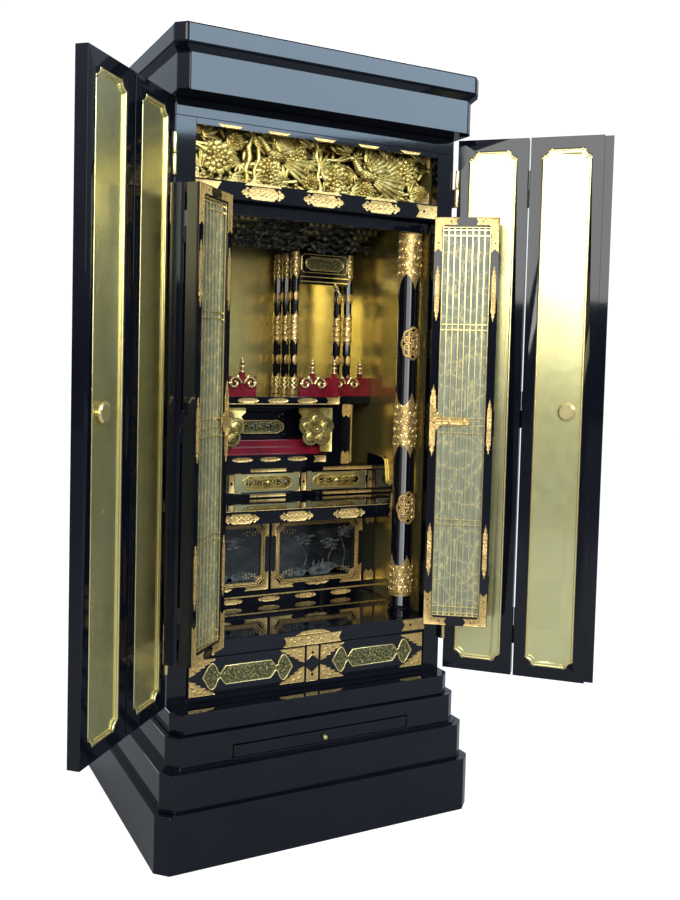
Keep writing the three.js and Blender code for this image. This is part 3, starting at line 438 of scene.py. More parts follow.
def notched(x0, x1, z0, z1, size, steps=6):
    points = []
    for x, z, sx, sz, flip in ((x0, z0, 1, 1, True), (x1, z0, -1, 1, False), (x1, z1, -1, -1, True),
                               (x0, z1, 1, -1, False)):
        arc = [(x + sx * size * cos(pi / 2 * i / steps), z + sz * size * sin(pi / 2 * i / steps))
               for i in range(steps + 1)]
        points += arc[::-1] if flip else arc
    return points


def knuckle(shape, place, low, high, radius):
    """A brass barrel with rounded ends on a hinge line."""
    barrel = bmesh.ops.create_cone(shape, cap_ends=True, segments=20, radius1=radius, radius2=radius,
        depth=high - low, matrix=place @ Matrix.Translation((0, 0, (low + high) / 2)))
    round_edges = dict.fromkeys(e for v in barrel["verts"] for e in v.link_edges)
    ends = [e for e in round_edges if len(e.link_faces) == 2 and any(len(f.verts) > 4
        for f in e.link_faces)]
    bmesh.ops.bevel(shape, geom=ends, affect="EDGES", offset=0.0008, segments=2, profile=0.5, material=-1)


door_low, door_high = 0.3171, 1.5673
outer_hinges = [door_low + (door_high - door_low) * share for share in (0.09, 0.5, 0.91)]
for side, word in ((-1, "left"), (1, "right")):
    hung = Matrix.Translation((side * outer_axis[0], outer_axis[1], 0))
    fixed_barrels, moving_barrels = bmesh.new(), bmesh.new()
    for z in outer_hinges:
        knuckle(fixed_barrels, hung, z - 0.0428, z - 0.0006, 0.0046)
        knuckle(moving_barrels, hung, z + 0.0006, z + 0.0428, 0.0046)
    put(f"outer_barrels_fixed_{word}", fixed_barrels, bright)
    put(f"outer_barrels_moving_{word}", moving_barrels, bright, f"outer_{word}_1")
    for leaf, start in ((1, 0.001), (2, 0.169)):
        dress(f"outer_leaf_{word}_{leaf}", lacquer, 0.0012)
        dress(f"outer_panel_{word}_{leaf}", door_leaf, 0.0008)
        mouldings = bmesh.new()
        x0, x1, z0, z1 = start + 0.026, start + 0.137, 0.3441, 1.5403
        for inward, width, sunk, tall in ((0.0004, 0.0056, 0.0042, 0.003),
                (0.0068, 0.0026, 0.0048, 0.0016)):
            outline = notched(x0 + inward, x1 - inward, z0 + inward, z1 - inward, 0.0153)
            rim_cut(mouldings, outline, outer_place(side, sunk), width, tall)
        put(f"panel_moulding_{word}_{leaf}", mouldings, bright,
            f"outer_{word}_{leaf}", crease=50)
    dress(f"outer_knob_{word}", bright, 0.0006)

# Transom: a pierced and gilded carving of birds among peonies over waves, in a recess under the head rail.
# Each feather, petal and leaf is cut round and laid over the next.
def carved_gilding():
    finish, tree, shader = shade("carved_gilding", Metallic=0.85, Roughness=0.33)
    tint(tree, shader, grain(tree, 45, 5).outputs["Fac"],
         [(0.3, (0.20, 0.14, 0.03)), (0.5, (0.50, 0.38, 0.11)), (0.72, (0.78, 0.66, 0.28))])
    relief(tree, shader, grain(tree, 420, 3).outputs["Fac"], 0.35, 0.0008)
    return finish


carving_gold = carved_gilding()


def feather_fan(shape, place, x, z, start, step, count, reach, long, wide, depth):
    for i in range(count):
        turn = start + step * i
        middle = (x + cos(turn) * reach, z + sin(turn) * reach, depth - 0.0006 * i)
        bead(shape, place, middle, (long, wide, 0.0032), turn)
        bead(shape, place, (middle[0], middle[1], middle[2] + 0.0028),
             (long * 0.9, wide * 0.16, 0.0014), turn, 6, 4)
        for k in range(4):
            share = -0.45 + 0.38 * k
            for way in (-1, 1):
                barb = (x + cos(turn) * (reach + long * share) - sin(turn) * way * wide * 0.5,
                        z + sin(turn) * (reach + long * share) + cos(turn) * way * wide * 0.5,
                        middle[2] + 0.0022)
                bead(shape, place, barb, (long * 0.17, wide * 0.2, 0.0016), turn + way * 0.7, 6, 4)


def peony(shape, place, x, z, size, depth):
    for ring_radius, count, petal, lift in ((0.7, 11, 0.3, 0.0), (0.46, 9, 0.24, 0.004),
            (0.26, 7, 0.17, 0.0075), (0.1, 4, 0.1, 0.0095)):
        for i in range(count):
            turn = 2 * pi * i / count + ring_radius * 3
            middle = (x + cos(turn) * size * ring_radius, z + sin(turn) * size * ring_radius, depth + lift)
            bead(shape, place, middle, (size * petal * 0.95, size * petal * 0.8, 0.0046), turn)
            for way in (-0.3, 0.3):
                tip = (x + cos(turn + way * 0.5) * size * (ring_radius + petal * 0.4),
                       z + sin(turn + way * 0.5) * size * (ring_radius + petal * 0.4), depth + lift + 0.003)
                bead(shape, place, tip, (size * petal * 0.42, size * petal * 0.16, 0.0022),
                     turn + way, 6, 4)
    bead(shape, place, (x, z, depth + 0.013), (size * 0.09, size * 0.09, 0.003))


def spray(shape, place, x, z, size, lean, depth, leaves=5):
    for i in range(leaves):
        turn = lean + (i - (leaves - 1) / 2) * 0.42
        middle = (x + cos(turn) * size * 0.55, z + sin(turn) * size * 0.55, depth + 0.0015 * (i % 2))
        bead(shape, place, middle, (size * 0.5, size * 0.14, 0.0032), turn)
        bead(shape, place, (middle[0], middle[1], middle[2] + 0.0026),
             (size * 0.42, size * 0.03, 0.0012), turn, 6, 4)


def vine(shape, place, points, radius, sides=6):
    """A stem of even thickness along a smooth line of points."""
    stem, previous = bmesh.new(), None
    for i, point in enumerate(points):
        before, after = points[max(i - 1, 0)], points[min(i + 1, len(points) - 1)]
        along = Vector(after) - Vector(before)
        spin = Matrix.Rotation(atan2(along.y, along.x), 4, "Z") @ Matrix.Rotation(pi / 2, 4, "Y")
        made = bmesh.ops.create_circle(stem, cap_ends=i in (0, len(points) - 1), segments=sides,
            radius=radius, matrix=place @ Matrix.Translation(Vector(point)) @ spin)
        edges = list(dict.fromkeys(e for v in made["verts"] for e in v.link_edges))
        if previous:
            bmesh.ops.bridge_loops(stem, edges=previous + edges)
        previous = edges
    gather(shape, stem)


def circle(x, z, wide, high, lift, sides):
    return [(x + wide * cos(2 * pi * i / sides), z + high * sin(2 * pi * i / sides), lift)
            for i in range(sides + 1)]


def bird(shape, place, x, z, way, depth):
    bead(shape, place, (x, z, depth + 0.006), (0.026, 0.0125, 0.009), way * 0.3, 12, 8)
    for i in range(6):
        share = i / 5
        bead(shape, place, (x + way * (0.02 + 0.016 * share), z + 0.008 + 0.022 * share, depth + 0.008),
             (0.0085 - 0.002 * share, 0.0075 - 0.0015 * share, 0.006), 0, 8, 6)
    bead(shape, place, (x + way * 0.041, z + 0.032, depth + 0.009), (0.0085, 0.0065, 0.006),
         way * 0.2, 10, 6)
    bead(shape, place, (x + way * 0.051, z + 0.031, depth + 0.009), (0.006, 0.0022, 0.0022),
         -way * 0.3, 6, 4)
    for i in range(3):
        bead(shape, place, (x + way * (0.036 - i * 0.004), z + 0.041 - i * 0.001, depth + 0.008),
             (0.0075, 0.002, 0.002), pi / 2 + way * (0.3 + i * 0.35), 6, 4)
    toward = pi if way > 0 else 0
    feather_fan(shape, place, x, z + 0.004, toward - way * 0.2, -way * 0.24, 7, 0.034, 0.024, 0.0062,
                depth + 0.008)
    feather_fan(shape, place, x + way * 0.004, z + 0.006, toward - way * 0.3, -way * 0.28, 5, 0.021, 0.015,
                0.005, depth + 0.0125)
    feather_fan(shape, place, x, z - 0.002, toward + way * 0.06, way * 0.15, 5, 0.062, 0.04, 0.0048,
                depth + 0.004)
    for i in range(12):
        share = i / 11
        bead(shape, place, (x - way * 0.018 + way * 0.036 * share, z - 0.003 + 0.005 * sin(i * 2.1),
                            depth + 0.0135), (0.0042, 0.0036, 0.0022), way * 0.3, 6, 4)


transom, frame_corners = bmesh.new(), bmesh.new()
carve = facing(-0.162)
middle_z = 1.4755
for column in range(27):
    for row in range(6):
        x = -0.281 + 0.0216 * column + 0.006 * sin(column * 2.3 + row)
        z = middle_z - 0.05 + 0.0195 * row + 0.004 * sin(row * 3.1 + column * 1.9)
        turn = 2.4 * sin(column * 1.37 + row * 2.11)
        bead(transom, carve, (x, z, 0.0), (0.0135, 0.0052, 0.0036), turn)
        bead(transom, carve, (x, z, 0.0034), (0.012, 0.001, 0.0012), turn, 6, 4)
for phase, height, swing in ((0.4, -0.028, 0.013), (2.4, 0.006, 0.02), (4.2, 0.03, 0.01)):
    line = [(-0.285 + 0.57 * i / 60, middle_z + height + swing * sin(4 * pi * i / 60 + phase), 0.005)
            for i in range(61)]
    vine(transom, carve, line, 0.0042)
for x0, lean, thick in ((-0.168, 0.12, 0.0062), (-0.151, 0.2, 0.0045), (0.012, -0.1, 0.005)):
    trunk = [(x0 + lean * 0.11 * i / 14 + 0.003 * sin(i * 1.1), middle_z - 0.056 + 0.112 * i / 14, 0.008)
             for i in range(15)]
    vine(transom, carve, trunk, thick, 8)
    for x, z, d in trunk[::3]:
        bead(transom, carve, (x, z, d), (thick * 1.35, 0.0018, thick * 1.2), 0, 10, 4)
for x, z, size in ((-0.232, -0.004, 0.041), (-0.112, -0.02, 0.032), (-0.05, 0.022, 0.03),
                   (0.052, -0.018, 0.036), (0.236, 0.014, 0.036), (-0.19, 0.034, 0.021),
                   (0.13, -0.036, 0.022), (0.276, -0.03, 0.02), (-0.01, -0.034, 0.02)):
    peony(transom, carve, x, middle_z + z, size, 0.008)
for x, z, size, lean in ((-0.27, -0.034, 0.04, 2.4), (-0.268, 0.036, 0.038, 1.2), (-0.2, -0.04, 0.034, 5.4),
                         (-0.15, 0.036, 0.036, 0.6), (-0.15, -0.04, 0.034, 5.7),
                         (-0.075, -0.04, 0.036, 2.6), (-0.014, 0.042, 0.034, 1.9), (0.01, 0.0, 0.034, 0.2),
                         (0.09, -0.042, 0.034, 5.8), (0.2, -0.038, 0.036, 2.6), (0.272, 0.042, 0.034, 1.7),
                         (0.245, -0.036, 0.034, 0.4), (-0.09, 0.012, 0.03, 3.4), (0.085, 0.04, 0.034, 2.4),
                         (-0.21, 0.018, 0.026, 0.3), (-0.02, 0.01, 0.028, 5.2), (0.178, 0.04, 0.03, 1.0),
                         (0.205, 0.002, 0.026, 5.9), (-0.18, -0.008, 0.026, 3.8), (0.098, 0.0, 0.024, 3.9)):
    spray(transom, carve, x, middle_z + z, size, lean, 0.009, 7)
bird(transom, carve, -0.098, middle_z + 0.014, -1, 0.008)
bird(transom, carve, 0.128, middle_z - 0.004, -1, 0.011)
feather_fan(transom, carve, 0.15, middle_z - 0.016, 0.95, -0.17, 11, 0.052, 0.034, 0.0068, 0.012)
feather_fan(transom, carve, 0.152, middle_z - 0.014, 1.0, -0.2, 9, 0.03, 0.02, 0.0055, 0.0155)
for i in range(26):
    x = -0.275 + 0.022 * i
    bead(transom, carve, (x, middle_z - 0.052 + 0.003 * sin(i * 1.7), 0.006),
         (0.014, 0.0065, 0.006), 0.5 * sin(i))
    bead(transom, carve, (x + 0.006, middle_z - 0.045, 0.01), (0.0048, 0.0048, 0.004), 0, 6, 4)
put("transom_relief", transom, carving_gold, stands_for=["transom_carving"], crease=50)
frame_corner = [(0.293, 0), (0.293, 0.03), (0.287, 0.027), (0.284, 0.018), (0.276, 0.016), (0.274, 0.007),
                (0.262, 0.005), (0.255, 0)]
for sx in (-1, 1):
    for z, sz in ((1.4175, 1), (1.5335, -1)):
        corner = sized(frame_corner, sx, sz, 0, z)
        sheet_cut(frame_corners, corner if sx * sz < 0 else corner[::-1], facing(-0.18), 0.002, 0.001)
for x in (-0.22, -0.11, 0.0, 0.11, 0.22):
    sheet_cut(frame_corners, [(x - 0.028, 1.5295), (x - 0.02, 1.5233), (x + 0.02, 1.5233),
                              (x + 0.028, 1.5295)], facing(-0.2152), 0.0008, 0.0005)
put("transom_corners", frame_corners, gilt)
fillet_strip = bmesh.new()
sheet_cut(fillet_strip, oblong(-0.2938, 0.2938, 1.523, 1.5352), facing(-0.2075), 0.0077, 0)
put("head_rail_fillet", fillet_strip, lacquer)

# Lintel: a lacquered rail with pierced gilt plates pinned on its face and caps over its upper arris.
# Swallow-tailed strips close its ends.
dress("lintel", lacquer, 0.0009)
cloud_quarter = [(0.0, 0.5), (0.23, 0.5), (0.27, 0.42), (0.29, 0.3), (0.31, 0.26), (0.33, 0.34),
                 (0.355, 0.42), (0.385, 0.4), (0.4, 0.28), (0.415, 0.2), (0.44, 0.21), (0.465, 0.15),
                 (0.47, 0.07), (0.5, 0.0)]
cap_outline = [(-0.5, -0.5), (0.5, -0.5), (0.43, 0.5), (-0.43, 0.5)]
tail_outline = [(0, -0.5), (1.0, -0.5), (0.85, 0.0), (1.0, 0.5), (0, 0.5)]


def oblong_plate(shape, dark, place, x, z, width, height):
    """A plate with a long middle, necks and three-lobed ends, chased with leaves and pierced."""
    sheet_cut(shape, sized(four_ways(cloud_quarter), width, height, x, z), place)
    for i in range(9):
        share = i / 8 - 0.5
        bead(shape, place, (x + share * width * 0.52, z + 0.09 * height * (-1) ** i, 0.001),
             (width * 0.042, height * 0.15, 0.0011), 0.7 * (-1) ** i)
    bead(shape, place, (x, z, 0.0014), (height * 0.15, height * 0.15, 0.0014), 0, 10, 6)
    for sx in (-1, 1):
        bead(shape, place, (x + sx * width * 0.445, z, 0.0012), (width * 0.03, height * 0.08, 0.001))
        for sz in (-1, 1):
            bead(dark, place, (x + sx * width * 0.345, z + sz * height * 0.2, 0.0008),
                 (width * 0.022, height * 0.1, 0.0009))
        for sz in (-1, 1):
            bead(dark, place, (x + sx * width * 0.285, z + sz * height * 0.36, 0.0009),
                 (width * 0.014, height * 0.07, 0.0009), sx * sz * 0.6)


def ribbon_plate(shape, dark, x_end, z, long, high, place, way):
    """A strip running in from a corner to a swallow tail, with one pierced hole."""
    sheet_cut(shape, sized(tail_outline, -way * long, high, x_end, z), place)
    bead(dark, place, (x_end - way * long * 0.62, z, 0.0008), (high * 0.13, high * 0.13, 0.0007))
    for i in range(4):
        bead(shape, place, (x_end - way * long * (0.12 + 0.12 * i), z + 0.13 * high * (-1) ** i, 0.001),
             (long * 0.055, high * 0.16, 0.001), 0.7 * (-1) ** i)


case_face = facing(-0.216)
cap_face = facing(-0.2163)
lintel_plates, lintel_dark = bmesh.new(), bmesh.new()
for x in (-0.144, 0.0, 0.145):
    oblong_plate(lintel_plates, lintel_dark, case_face, x, 1.3945, 0.101, 0.027)
    sheet_cut(lintel_plates, sized(cap_outline, 0.085, 0.0052, x, 1.4122), cap_face, 0.0016, 0.0)
for sx in (-1, 1):
    ribbon_plate(lintel_plates, lintel_dark, sx * 0.2947, 1.3965, 0.056, 0.029, case_face, sx)
put("lintel_plates", lintel_plates, gilt)
put("lintel_pierced", lintel_dark, lacquer)

# Sill rail and the two drawers under it: lacquered fronts with carved cartouches in gilt frames,
# corner plates with saw-toothed edges, and swallow-tailed plates with a black diamond on the posts.
dress("sill_rail", lacquer, 0.0009)
for side in ("left", "right"):
    dress(f"lower_drawer_{side}", lacquer, 0.0008)
sill_plates, sill_dark = bmesh.new(), bmesh.new()
ribbon_quarter = [(0.0, 0.5), (0.5, 0.5), (0.47, 0.3), (0.46, 0.06), (0.44, 0.0)]
sheet_cut(sill_plates, sized(four_ways(ribbon_quarter), 0.145, 0.022, 0, 0.4195), case_face)
sheet_cut(sill_plates, sized([(-0.5, -0.5), (0.5, -0.5), (0.3, 0.3), (0, 0.5), (-0.3, 0.3)], 0.086, 0.0095,
                             0, 0.4372), cap_face, 0.0016, 0.0008)
for i in range(11):
    bead(sill_plates, case_face, (0.011 * (i - 5), 0.4195 + 0.003 * (-1) ** i, 0.001),
         (0.0058, 0.0032, 0.0011), 0.7 * (-1) ** i)
for sx in (-1, 1):
    ribbon_plate(sill_plates, sill_dark, sx * 0.2947, 0.4255, 0.062, 0.026, case_face, sx)
for z, sz in ((0.3895, 1), (0.3405, -1)):
    notch_plate = [(-0.0145, z + sz * 0.0155), (0.0145, z + sz * 0.0155), (0.0145, z - sz * 0.0165),
                   (0, z - sz * 0.0045), (-0.0145, z - sz * 0.0165)]
    sheet_cut(sill_plates, notch_plate[::-sz], case_face, 0.0012, 0.0008)
    sheet_cut(sill_dark, [(0, z + sz * 0.0005 - 0.0045), (0.0036, z + sz * 0.0005),
                          (0, z + sz * 0.0005 + 0.0045), (-0.0036, z + sz * 0.0005)],
              facing(-0.2166), 0.001, 0)
put("sill_plates", sill_plates, gilt)
put("sill_pierced", sill_dark, lacquer)


def dark_relief():
    finish, tree, shader = shade("dark_relief", Metallic=0.6, Roughness=0.38)
    cloud = grain(tree, 300, 3)
    tint(tree, shader, cloud.outputs["Fac"], [(0.34, (0.035, 0.033, 0.014)), (0.54, (0.13, 0.12, 0.045)),
        (0.72, (0.40, 0.36, 0.15))])
    relief(tree, shader, cloud.outputs["Fac"], 0.8, 0.002)
    return finish


dark_carving = dark_relief()
cartouche_quarter = [(0.0, 0.34), (0.25, 0.34), (0.285, 0.2), (0.305, 0.09), (0.325, 0.14), (0.345, 0.32),
                     (0.37, 0.45), (0.4, 0.48), (0.435, 0.38), (0.465, 0.2), (0.5, 0.0)]
cartouche_middle = 0.3655
for sx, side in ((-1, "left"), (1, "right")):
    x0, x1, z0, z1 = 0.018, 0.2915, 0.3243, 0.4063
    middle = (x0 + x1) / 2
    corner_plates, rims, field = bmesh.new(), bmesh.new(), bmesh.new()
    rim_cut(rims, sized(four_ways(cartouche_quarter), 0.212, 0.062, sx * middle, cartouche_middle),
            case_face, 0.0026, 0.0026)
    sheet_cut(field, sized(four_ways(cartouche_quarter), 0.2085, 0.059, sx * middle, cartouche_middle),
              case_face, 0.0012, 0)
    place = facing(-0.2172)
    for i in range(19):
        share = i / 18 - 0.5
        for j in range(3):
            bead(field, place, (sx * middle + share * 0.11,
                                cartouche_middle + 0.0105 * (j - 1) + 0.003 * sin(i * 2.3 + j), 0),
                 (0.0062, 0.0026, 0.002), 1.3 * sin(i * 1.9 + j * 2.1))
    for way in (-1, 1):
        for i in range(7):
            turn = 2 * pi * i / 7
            bead(field, place, (sx * middle + way * 0.0825 + 0.0095 * cos(turn),
                                cartouche_middle + 0.0105 * sin(turn), 0), (0.005, 0.0026, 0.002), turn)
    for cx, cz in ((sx * x0 + sx * 0.002, z0 + 0.002), (sx * x1 - sx * 0.002, z0 + 0.002),
                   (sx * x0 + sx * 0.002, z1 - 0.002), (sx * x1 - sx * 0.002, z1 - 0.002)):
        ux = 1 if cx < sx * middle else -1
        uz = 1 if cz < cartouche_middle else -1
        teeth = [(0.0, 0.0), (0.06, 0.0), (0.054, 0.0055)]
        for i in range(4):
            near, high = 0.044 * (1 - i / 4), 0.0055 + 0.0068 * i
            teeth += [(near, high + 0.0004), (near + 0.0045, high + 0.0036), (near - 0.005, high + 0.0062)]
        teeth += [(0.0, 0.0345)]
        sheet_cut(corner_plates, sized(teeth, ux, uz, cx, cz), case_face, 0.0014, 0.0006)
        for u, v in ((0.012, 0.01), (0.025, 0.0065), (0.008, 0.02)):
            bead(corner_plates, case_face, (cx + ux * u, cz + uz * v, 0.0011), (0.0055, 0.0032, 0.0012),
                 ux * uz * -0.6)
    put(f"drawer_plates_{side}", corner_plates, gilt, f"lower_drawer_{side}")
    put(f"drawer_rim_{side}", rims, bright, f"lower_drawer_{side}", crease=50)
    put(f"drawer_cartouche_{side}", field, dark_carving, f"lower_drawer_{side}")

# Inner doors: lattice leaves folded face to face. A lacquered frame holds a row of slender gilt bars and
# a few rails over pale silk gauze. Gilt plates cover the corners and the stiles.
inner_axis = (0.2945, -0.22)
inner_open = {-1: radians(129), 1: radians(141)}
inner_fold = {-1: radians(173), 1: radians(176)}
leaf_width = 0.1455
fold_along, fold_behind = 0.0005 + leaf_width + 0.001, 0.0333


def inner_place(side, leaf, depth):
    """Drawn in distance along the leaf and height, on its front face, sunk by depth."""
    swing = Matrix.Translation((side * inner_axis[0], inner_axis[1],
                                0)) @ Matrix.Rotation(side * inner_open[side], 4, "Z")
    face = 0.004
    if leaf == 2:
        swing = swing @ Matrix.Translation((-side * fold_along, fold_behind,
            0)) @ Matrix.Rotation(-side * inner_fold[side], 4, "Z")
        face = 0.004 - fold_behind
    return swing @ Matrix(((-side, 0, 0, 0), (0, 0, -1, face + depth), (0, 1, 0, 0), (0, 0, 0, 1)))


def silk_gauze():
    finish, tree, shader = shade("silk_gauze", Metallic=0.25, Roughness=0.55)
    where = knot(tree, "ShaderNodeTexCoord")
    pattern = knot(tree, "ShaderNodeTexVoronoi", Scale=26.0)
    pattern.feature = "DISTANCE_TO_EDGE"
    warp = knot(tree, "ShaderNodeTexNoise", Scale=14.0, Detail=3.0)
    sway = knot(tree, "ShaderNodeMixRGB", blend_type="ADD")
    sway.inputs["Fac"].default_value = 0.09
    tree.links.new(where.outputs["Object"], warp.inputs["Vector"])
    tree.links.new(where.outputs["Object"], sway.inputs["Color1"])
    tree.links.new(warp.outputs["Color"], sway.inputs["Color2"])
    tree.links.new(sway.outputs["Color"], pattern.inputs["Vector"])
    tint(tree, shader, pattern.outputs["Distance"], [(0.02, (0.50, 0.44, 0.22)), (0.04, (0.27, 0.28, 0.19)),
        (0.3, (0.22, 0.235, 0.16))])
    weave = knot(tree, "ShaderNodeTexWave", Scale=420.0)
    weave.bands_direction = "Z"
    tree.links.new(where.outputs["Object"], weave.inputs["Vector"])
    relief(tree, shader, weave.outputs["Fac"], 0.15, 0.0003)
    return finish


latch_height = 0.915
gauze = silk_gauze()
low, high = 0.444, 1.376
for side, word in ((-1, "left"), (1, "right")):
    for leaf, start in ((1, 0.0005), (2, 0.001)):
        dress(f"inner_frame_{word}_{leaf}", lacquer, 0.0009)
        dress(f"inner_lattice_{word}_{leaf}", gauze, 0)
        body = f"inner_{word}_{leaf}"
        bars = bmesh.new()
        x0, x1 = start + 0.0188, start + leaf_width - 0.0188
        z0, z1 = low + 0.0213, high - 0.0213
        y_front = 0.0135 - 0.005
        for i in range(1, 8):
            x = x0 + (x1 - x0) * i / 8 - 0.0013
            sheet_cut(bars, oblong(x, x + 0.0026, z0, z1), inner_place(side, leaf, y_front), 0.0016, 0)
        for share in (0.008, 0.022, 0.247, 0.261, 0.486, 0.506, 0.525, 0.749, 0.762, 0.976, 0.992):
            z = z1 - (z1 - z0) * share
            sheet_cut(bars, oblong(x0, x1, z - 0.0012, z + 0.0012),
                      inner_place(side, leaf, y_front), 0.0024, 0)
        edge = oblong(x0, x1, z0, z1)
        rim_cut(bars, edge, inner_place(side, leaf, 0.0065), 0.0022, 0.003)
        put(f"lattice_bars_{word}_{leaf}", bars, bright, body)
        plates, pierced = bmesh.new(), bmesh.new()
        face = inner_place(side, leaf, 0)
        a0, a1 = start + 0.0012, start + leaf_width - 0.0012
        for ax, ux in ((a0, 1), (a1, -1)):
            for az, uz in ((low + 0.0012, 1), (high - 0.0012, -1)):
                arm = [(0, 0), (0.052, 0), (0.047, 0.0085), (0.052, 0.0165), (0.022, 0.0165),
                       (0.0165, 0.022), (0.0165, 0.078), (0.0085, 0.07), (0, 0.078)]
                sheet_cut(plates, sized(arm, ux, uz, ax, az), face, 0.0012, 0.0008, 0.0004)
                bead(pierced, face, (ax + ux * 0.0083, az + uz * 0.057, 0.0008), (0.0021, 0.0021, 0.0007))
                bead(pierced, face, (ax + ux * 0.036, az + uz * 0.0083, 0.0008), (0.0021, 0.0021, 0.0007))
            for middle in (0.618, 0.904, 1.204):
                if middle == 0.904 and leaf == 2 and ux < 0:
                    continue
                for s in (1, -1):
                    strip = [(0.0033, 0), (0.0033, 0.042), (0.0062, 0.0455), (0.0045, 0.05),
                             (0.0068, 0.0545), (0.0083, 0.0635), (0.0098, 0.0545), (0.0121, 0.05),
                             (0.0104, 0.0455), (0.0133, 0.042), (0.0133, 0)]
                    sheet_cut(plates, sized(strip, ux, s, ax, middle), face, 0.0012, 0.0008, 0.0004)
                    for i in range(5):
                        bead(plates, face, (ax + ux * (0.0083 + 0.0012 * (-1) ** i),
                            middle + s * (0.005 + 0.0085 * i), 0.001), (0.0046, 0.0024, 0.001),
                             s * ux * 0.8 * (-1) ** i)
        put(f"inner_plates_{word}_{leaf}", plates, gilt, body)
        put(f"inner_pierced_{word}_{leaf}", pierced, lacquer, body)
    latch = bmesh.new()
    face = inner_place(side, 2, 0)
    edge_at = 0.001 + leaf_width
    spindle = [(0.0015, 0), (0.0015, 0.055), (0.0045, 0.062), (0.003, 0.067), (0.0065, 0.073),
               (0.0083, 0.083), (0.0101, 0.073), (0.0136, 0.067), (0.0121, 0.062),
               (0.0151, 0.055), (0.0151, 0)]
    for s in (1, -1):
        sheet_cut(latch, sized(spindle, -1, s, edge_at, latch_height), face, 0.0012, 0.0008)
    fan = [(0.0, -0.0415), (0.004, -0.034), (0.011, -0.029), (0.0125, -0.021), (0.02, -0.019),
           (0.0215, -0.011), (0.029, -0.0085), (0.032, 0), (0.029, 0.0085), (0.0215, 0.011), (0.02, 0.019),
           (0.0125, 0.021), (0.011, 0.029), (0.004, 0.034), (0.0, 0.0415)]
    sheet_cut(latch, sized(fan, -1, 1, edge_at - 0.0016, latch_height), face, 0.0022, 0.001)
    for i in range(9):
        turn = pi - 1.2 + i * 0.3
        bead(latch, face, (edge_at - 0.002 + cos(turn) * 0.015, latch_height + sin(turn) * 0.024, 0.002),
             (0.0095, 0.0018, 0.0012), turn, 6, 4)
    if side > 0:
        bolt = oblong(edge_at - 0.092, edge_at - 0.002, 0.9075, 0.9225)
        sheet_cut(latch, bolt, face, 0.0024, 0.0014, 0.0008)
        vine(latch, face, [(edge_at - 0.088 + 0.0105 * i, latch_height, 0.0021)
                           for i in range(9)], 0.002, 12)
        for along in (0.012, 0.046, 0.08):
            bead(latch, face, (edge_at - along, latch_height, 0.0018), (0.0036, 0.0085, 0.0024), 0, 12, 8)
    put(f"latch_{word}", latch, gilt, f"inner_{word}_2")

# Columns: turned and lacquered posts on black feet, sheathed in pierced gilt sleeves with pointed edges,
# with a round medallion between them.
column_x, column_y, column_r = 0.266, -0.15, 0.0261


def sleeve(shape, x, y, z0, z1, radius, top_point, foot_point, sides, points=4):
    """A sheet bent round the column, its ends cut into points."""
    made = bmesh.ops.create_cone(shape, cap_ends=False, segments=sides, radius1=radius, radius2=radius,
                                 depth=z1 - z0, matrix=Matrix.Translation((x, y, (z0 + z1) / 2)))
    mid = (z0 + z1) / 2
    for v in made["verts"]:
        turn = atan2(v.co.y - y, v.co.x - x)
        point = abs(sin(turn * points / 2)) ** 0.8
        if v.co.z > mid:
            v.co.z -= top_point * point
        else:
            v.co.z += foot_point * point


def wrapped(shape, before, x, y, radius):
    """Bends flat work drawn round X = 0 about an upright round post."""
    for v in shape.verts:
        if v not in before:
            turn, lift = v.co.x / radius, -v.co.y
            v.co = (x + (radius + lift) * sin(turn), y - (radius + lift) * cos(turn), v.co.z)


def medallion(shape, x, y, z, radius, half_wide, half_high, turn):
    """A round pierced boss: a lobed ring, small rings inside it and a flower in the middle."""
    before = set(shape.verts)
    flat = facing(0)
    rim = []
    for i in range(49):
        around = 2 * pi * i / 48
        lobes = 1 + 0.05 * cos(8 * around)
        rim.append((turn * radius + half_wide * lobes * cos(around),
                    z + half_high * lobes * sin(around), 0.0012))
    vine(shape, flat, rim, half_wide * 0.11)
    for j in range(8):
        around = 2 * pi * (j + 0.5) / 8
        cx, cz = turn * radius + half_wide * 0.64 * cos(around), z + half_high * 0.64 * sin(around)
        small = circle(cx, cz, half_wide * 0.2, half_high * 0.2, 0.001, 10)
        vine(shape, flat, small, half_wide * 0.095)
        bead(shape, flat, (cx, cz, 0.001), (half_wide * 0.09, half_high * 0.09, 0.0012), 0, 6, 4)
    for j in range(6):
        around = 2 * pi * j / 6
        bead(shape, flat, (turn * radius + half_wide * 0.24 * cos(around),
                           z + half_high * 0.24 * sin(around), 0.001),
             (half_wide * 0.2, half_high * 0.1, 0.0016), around)
    bead(shape, flat, (turn * radius, z, 0.002), (half_wide * 0.13, half_high * 0.11, 0.0014))
    wrapped(shape, before, x, y, radius)


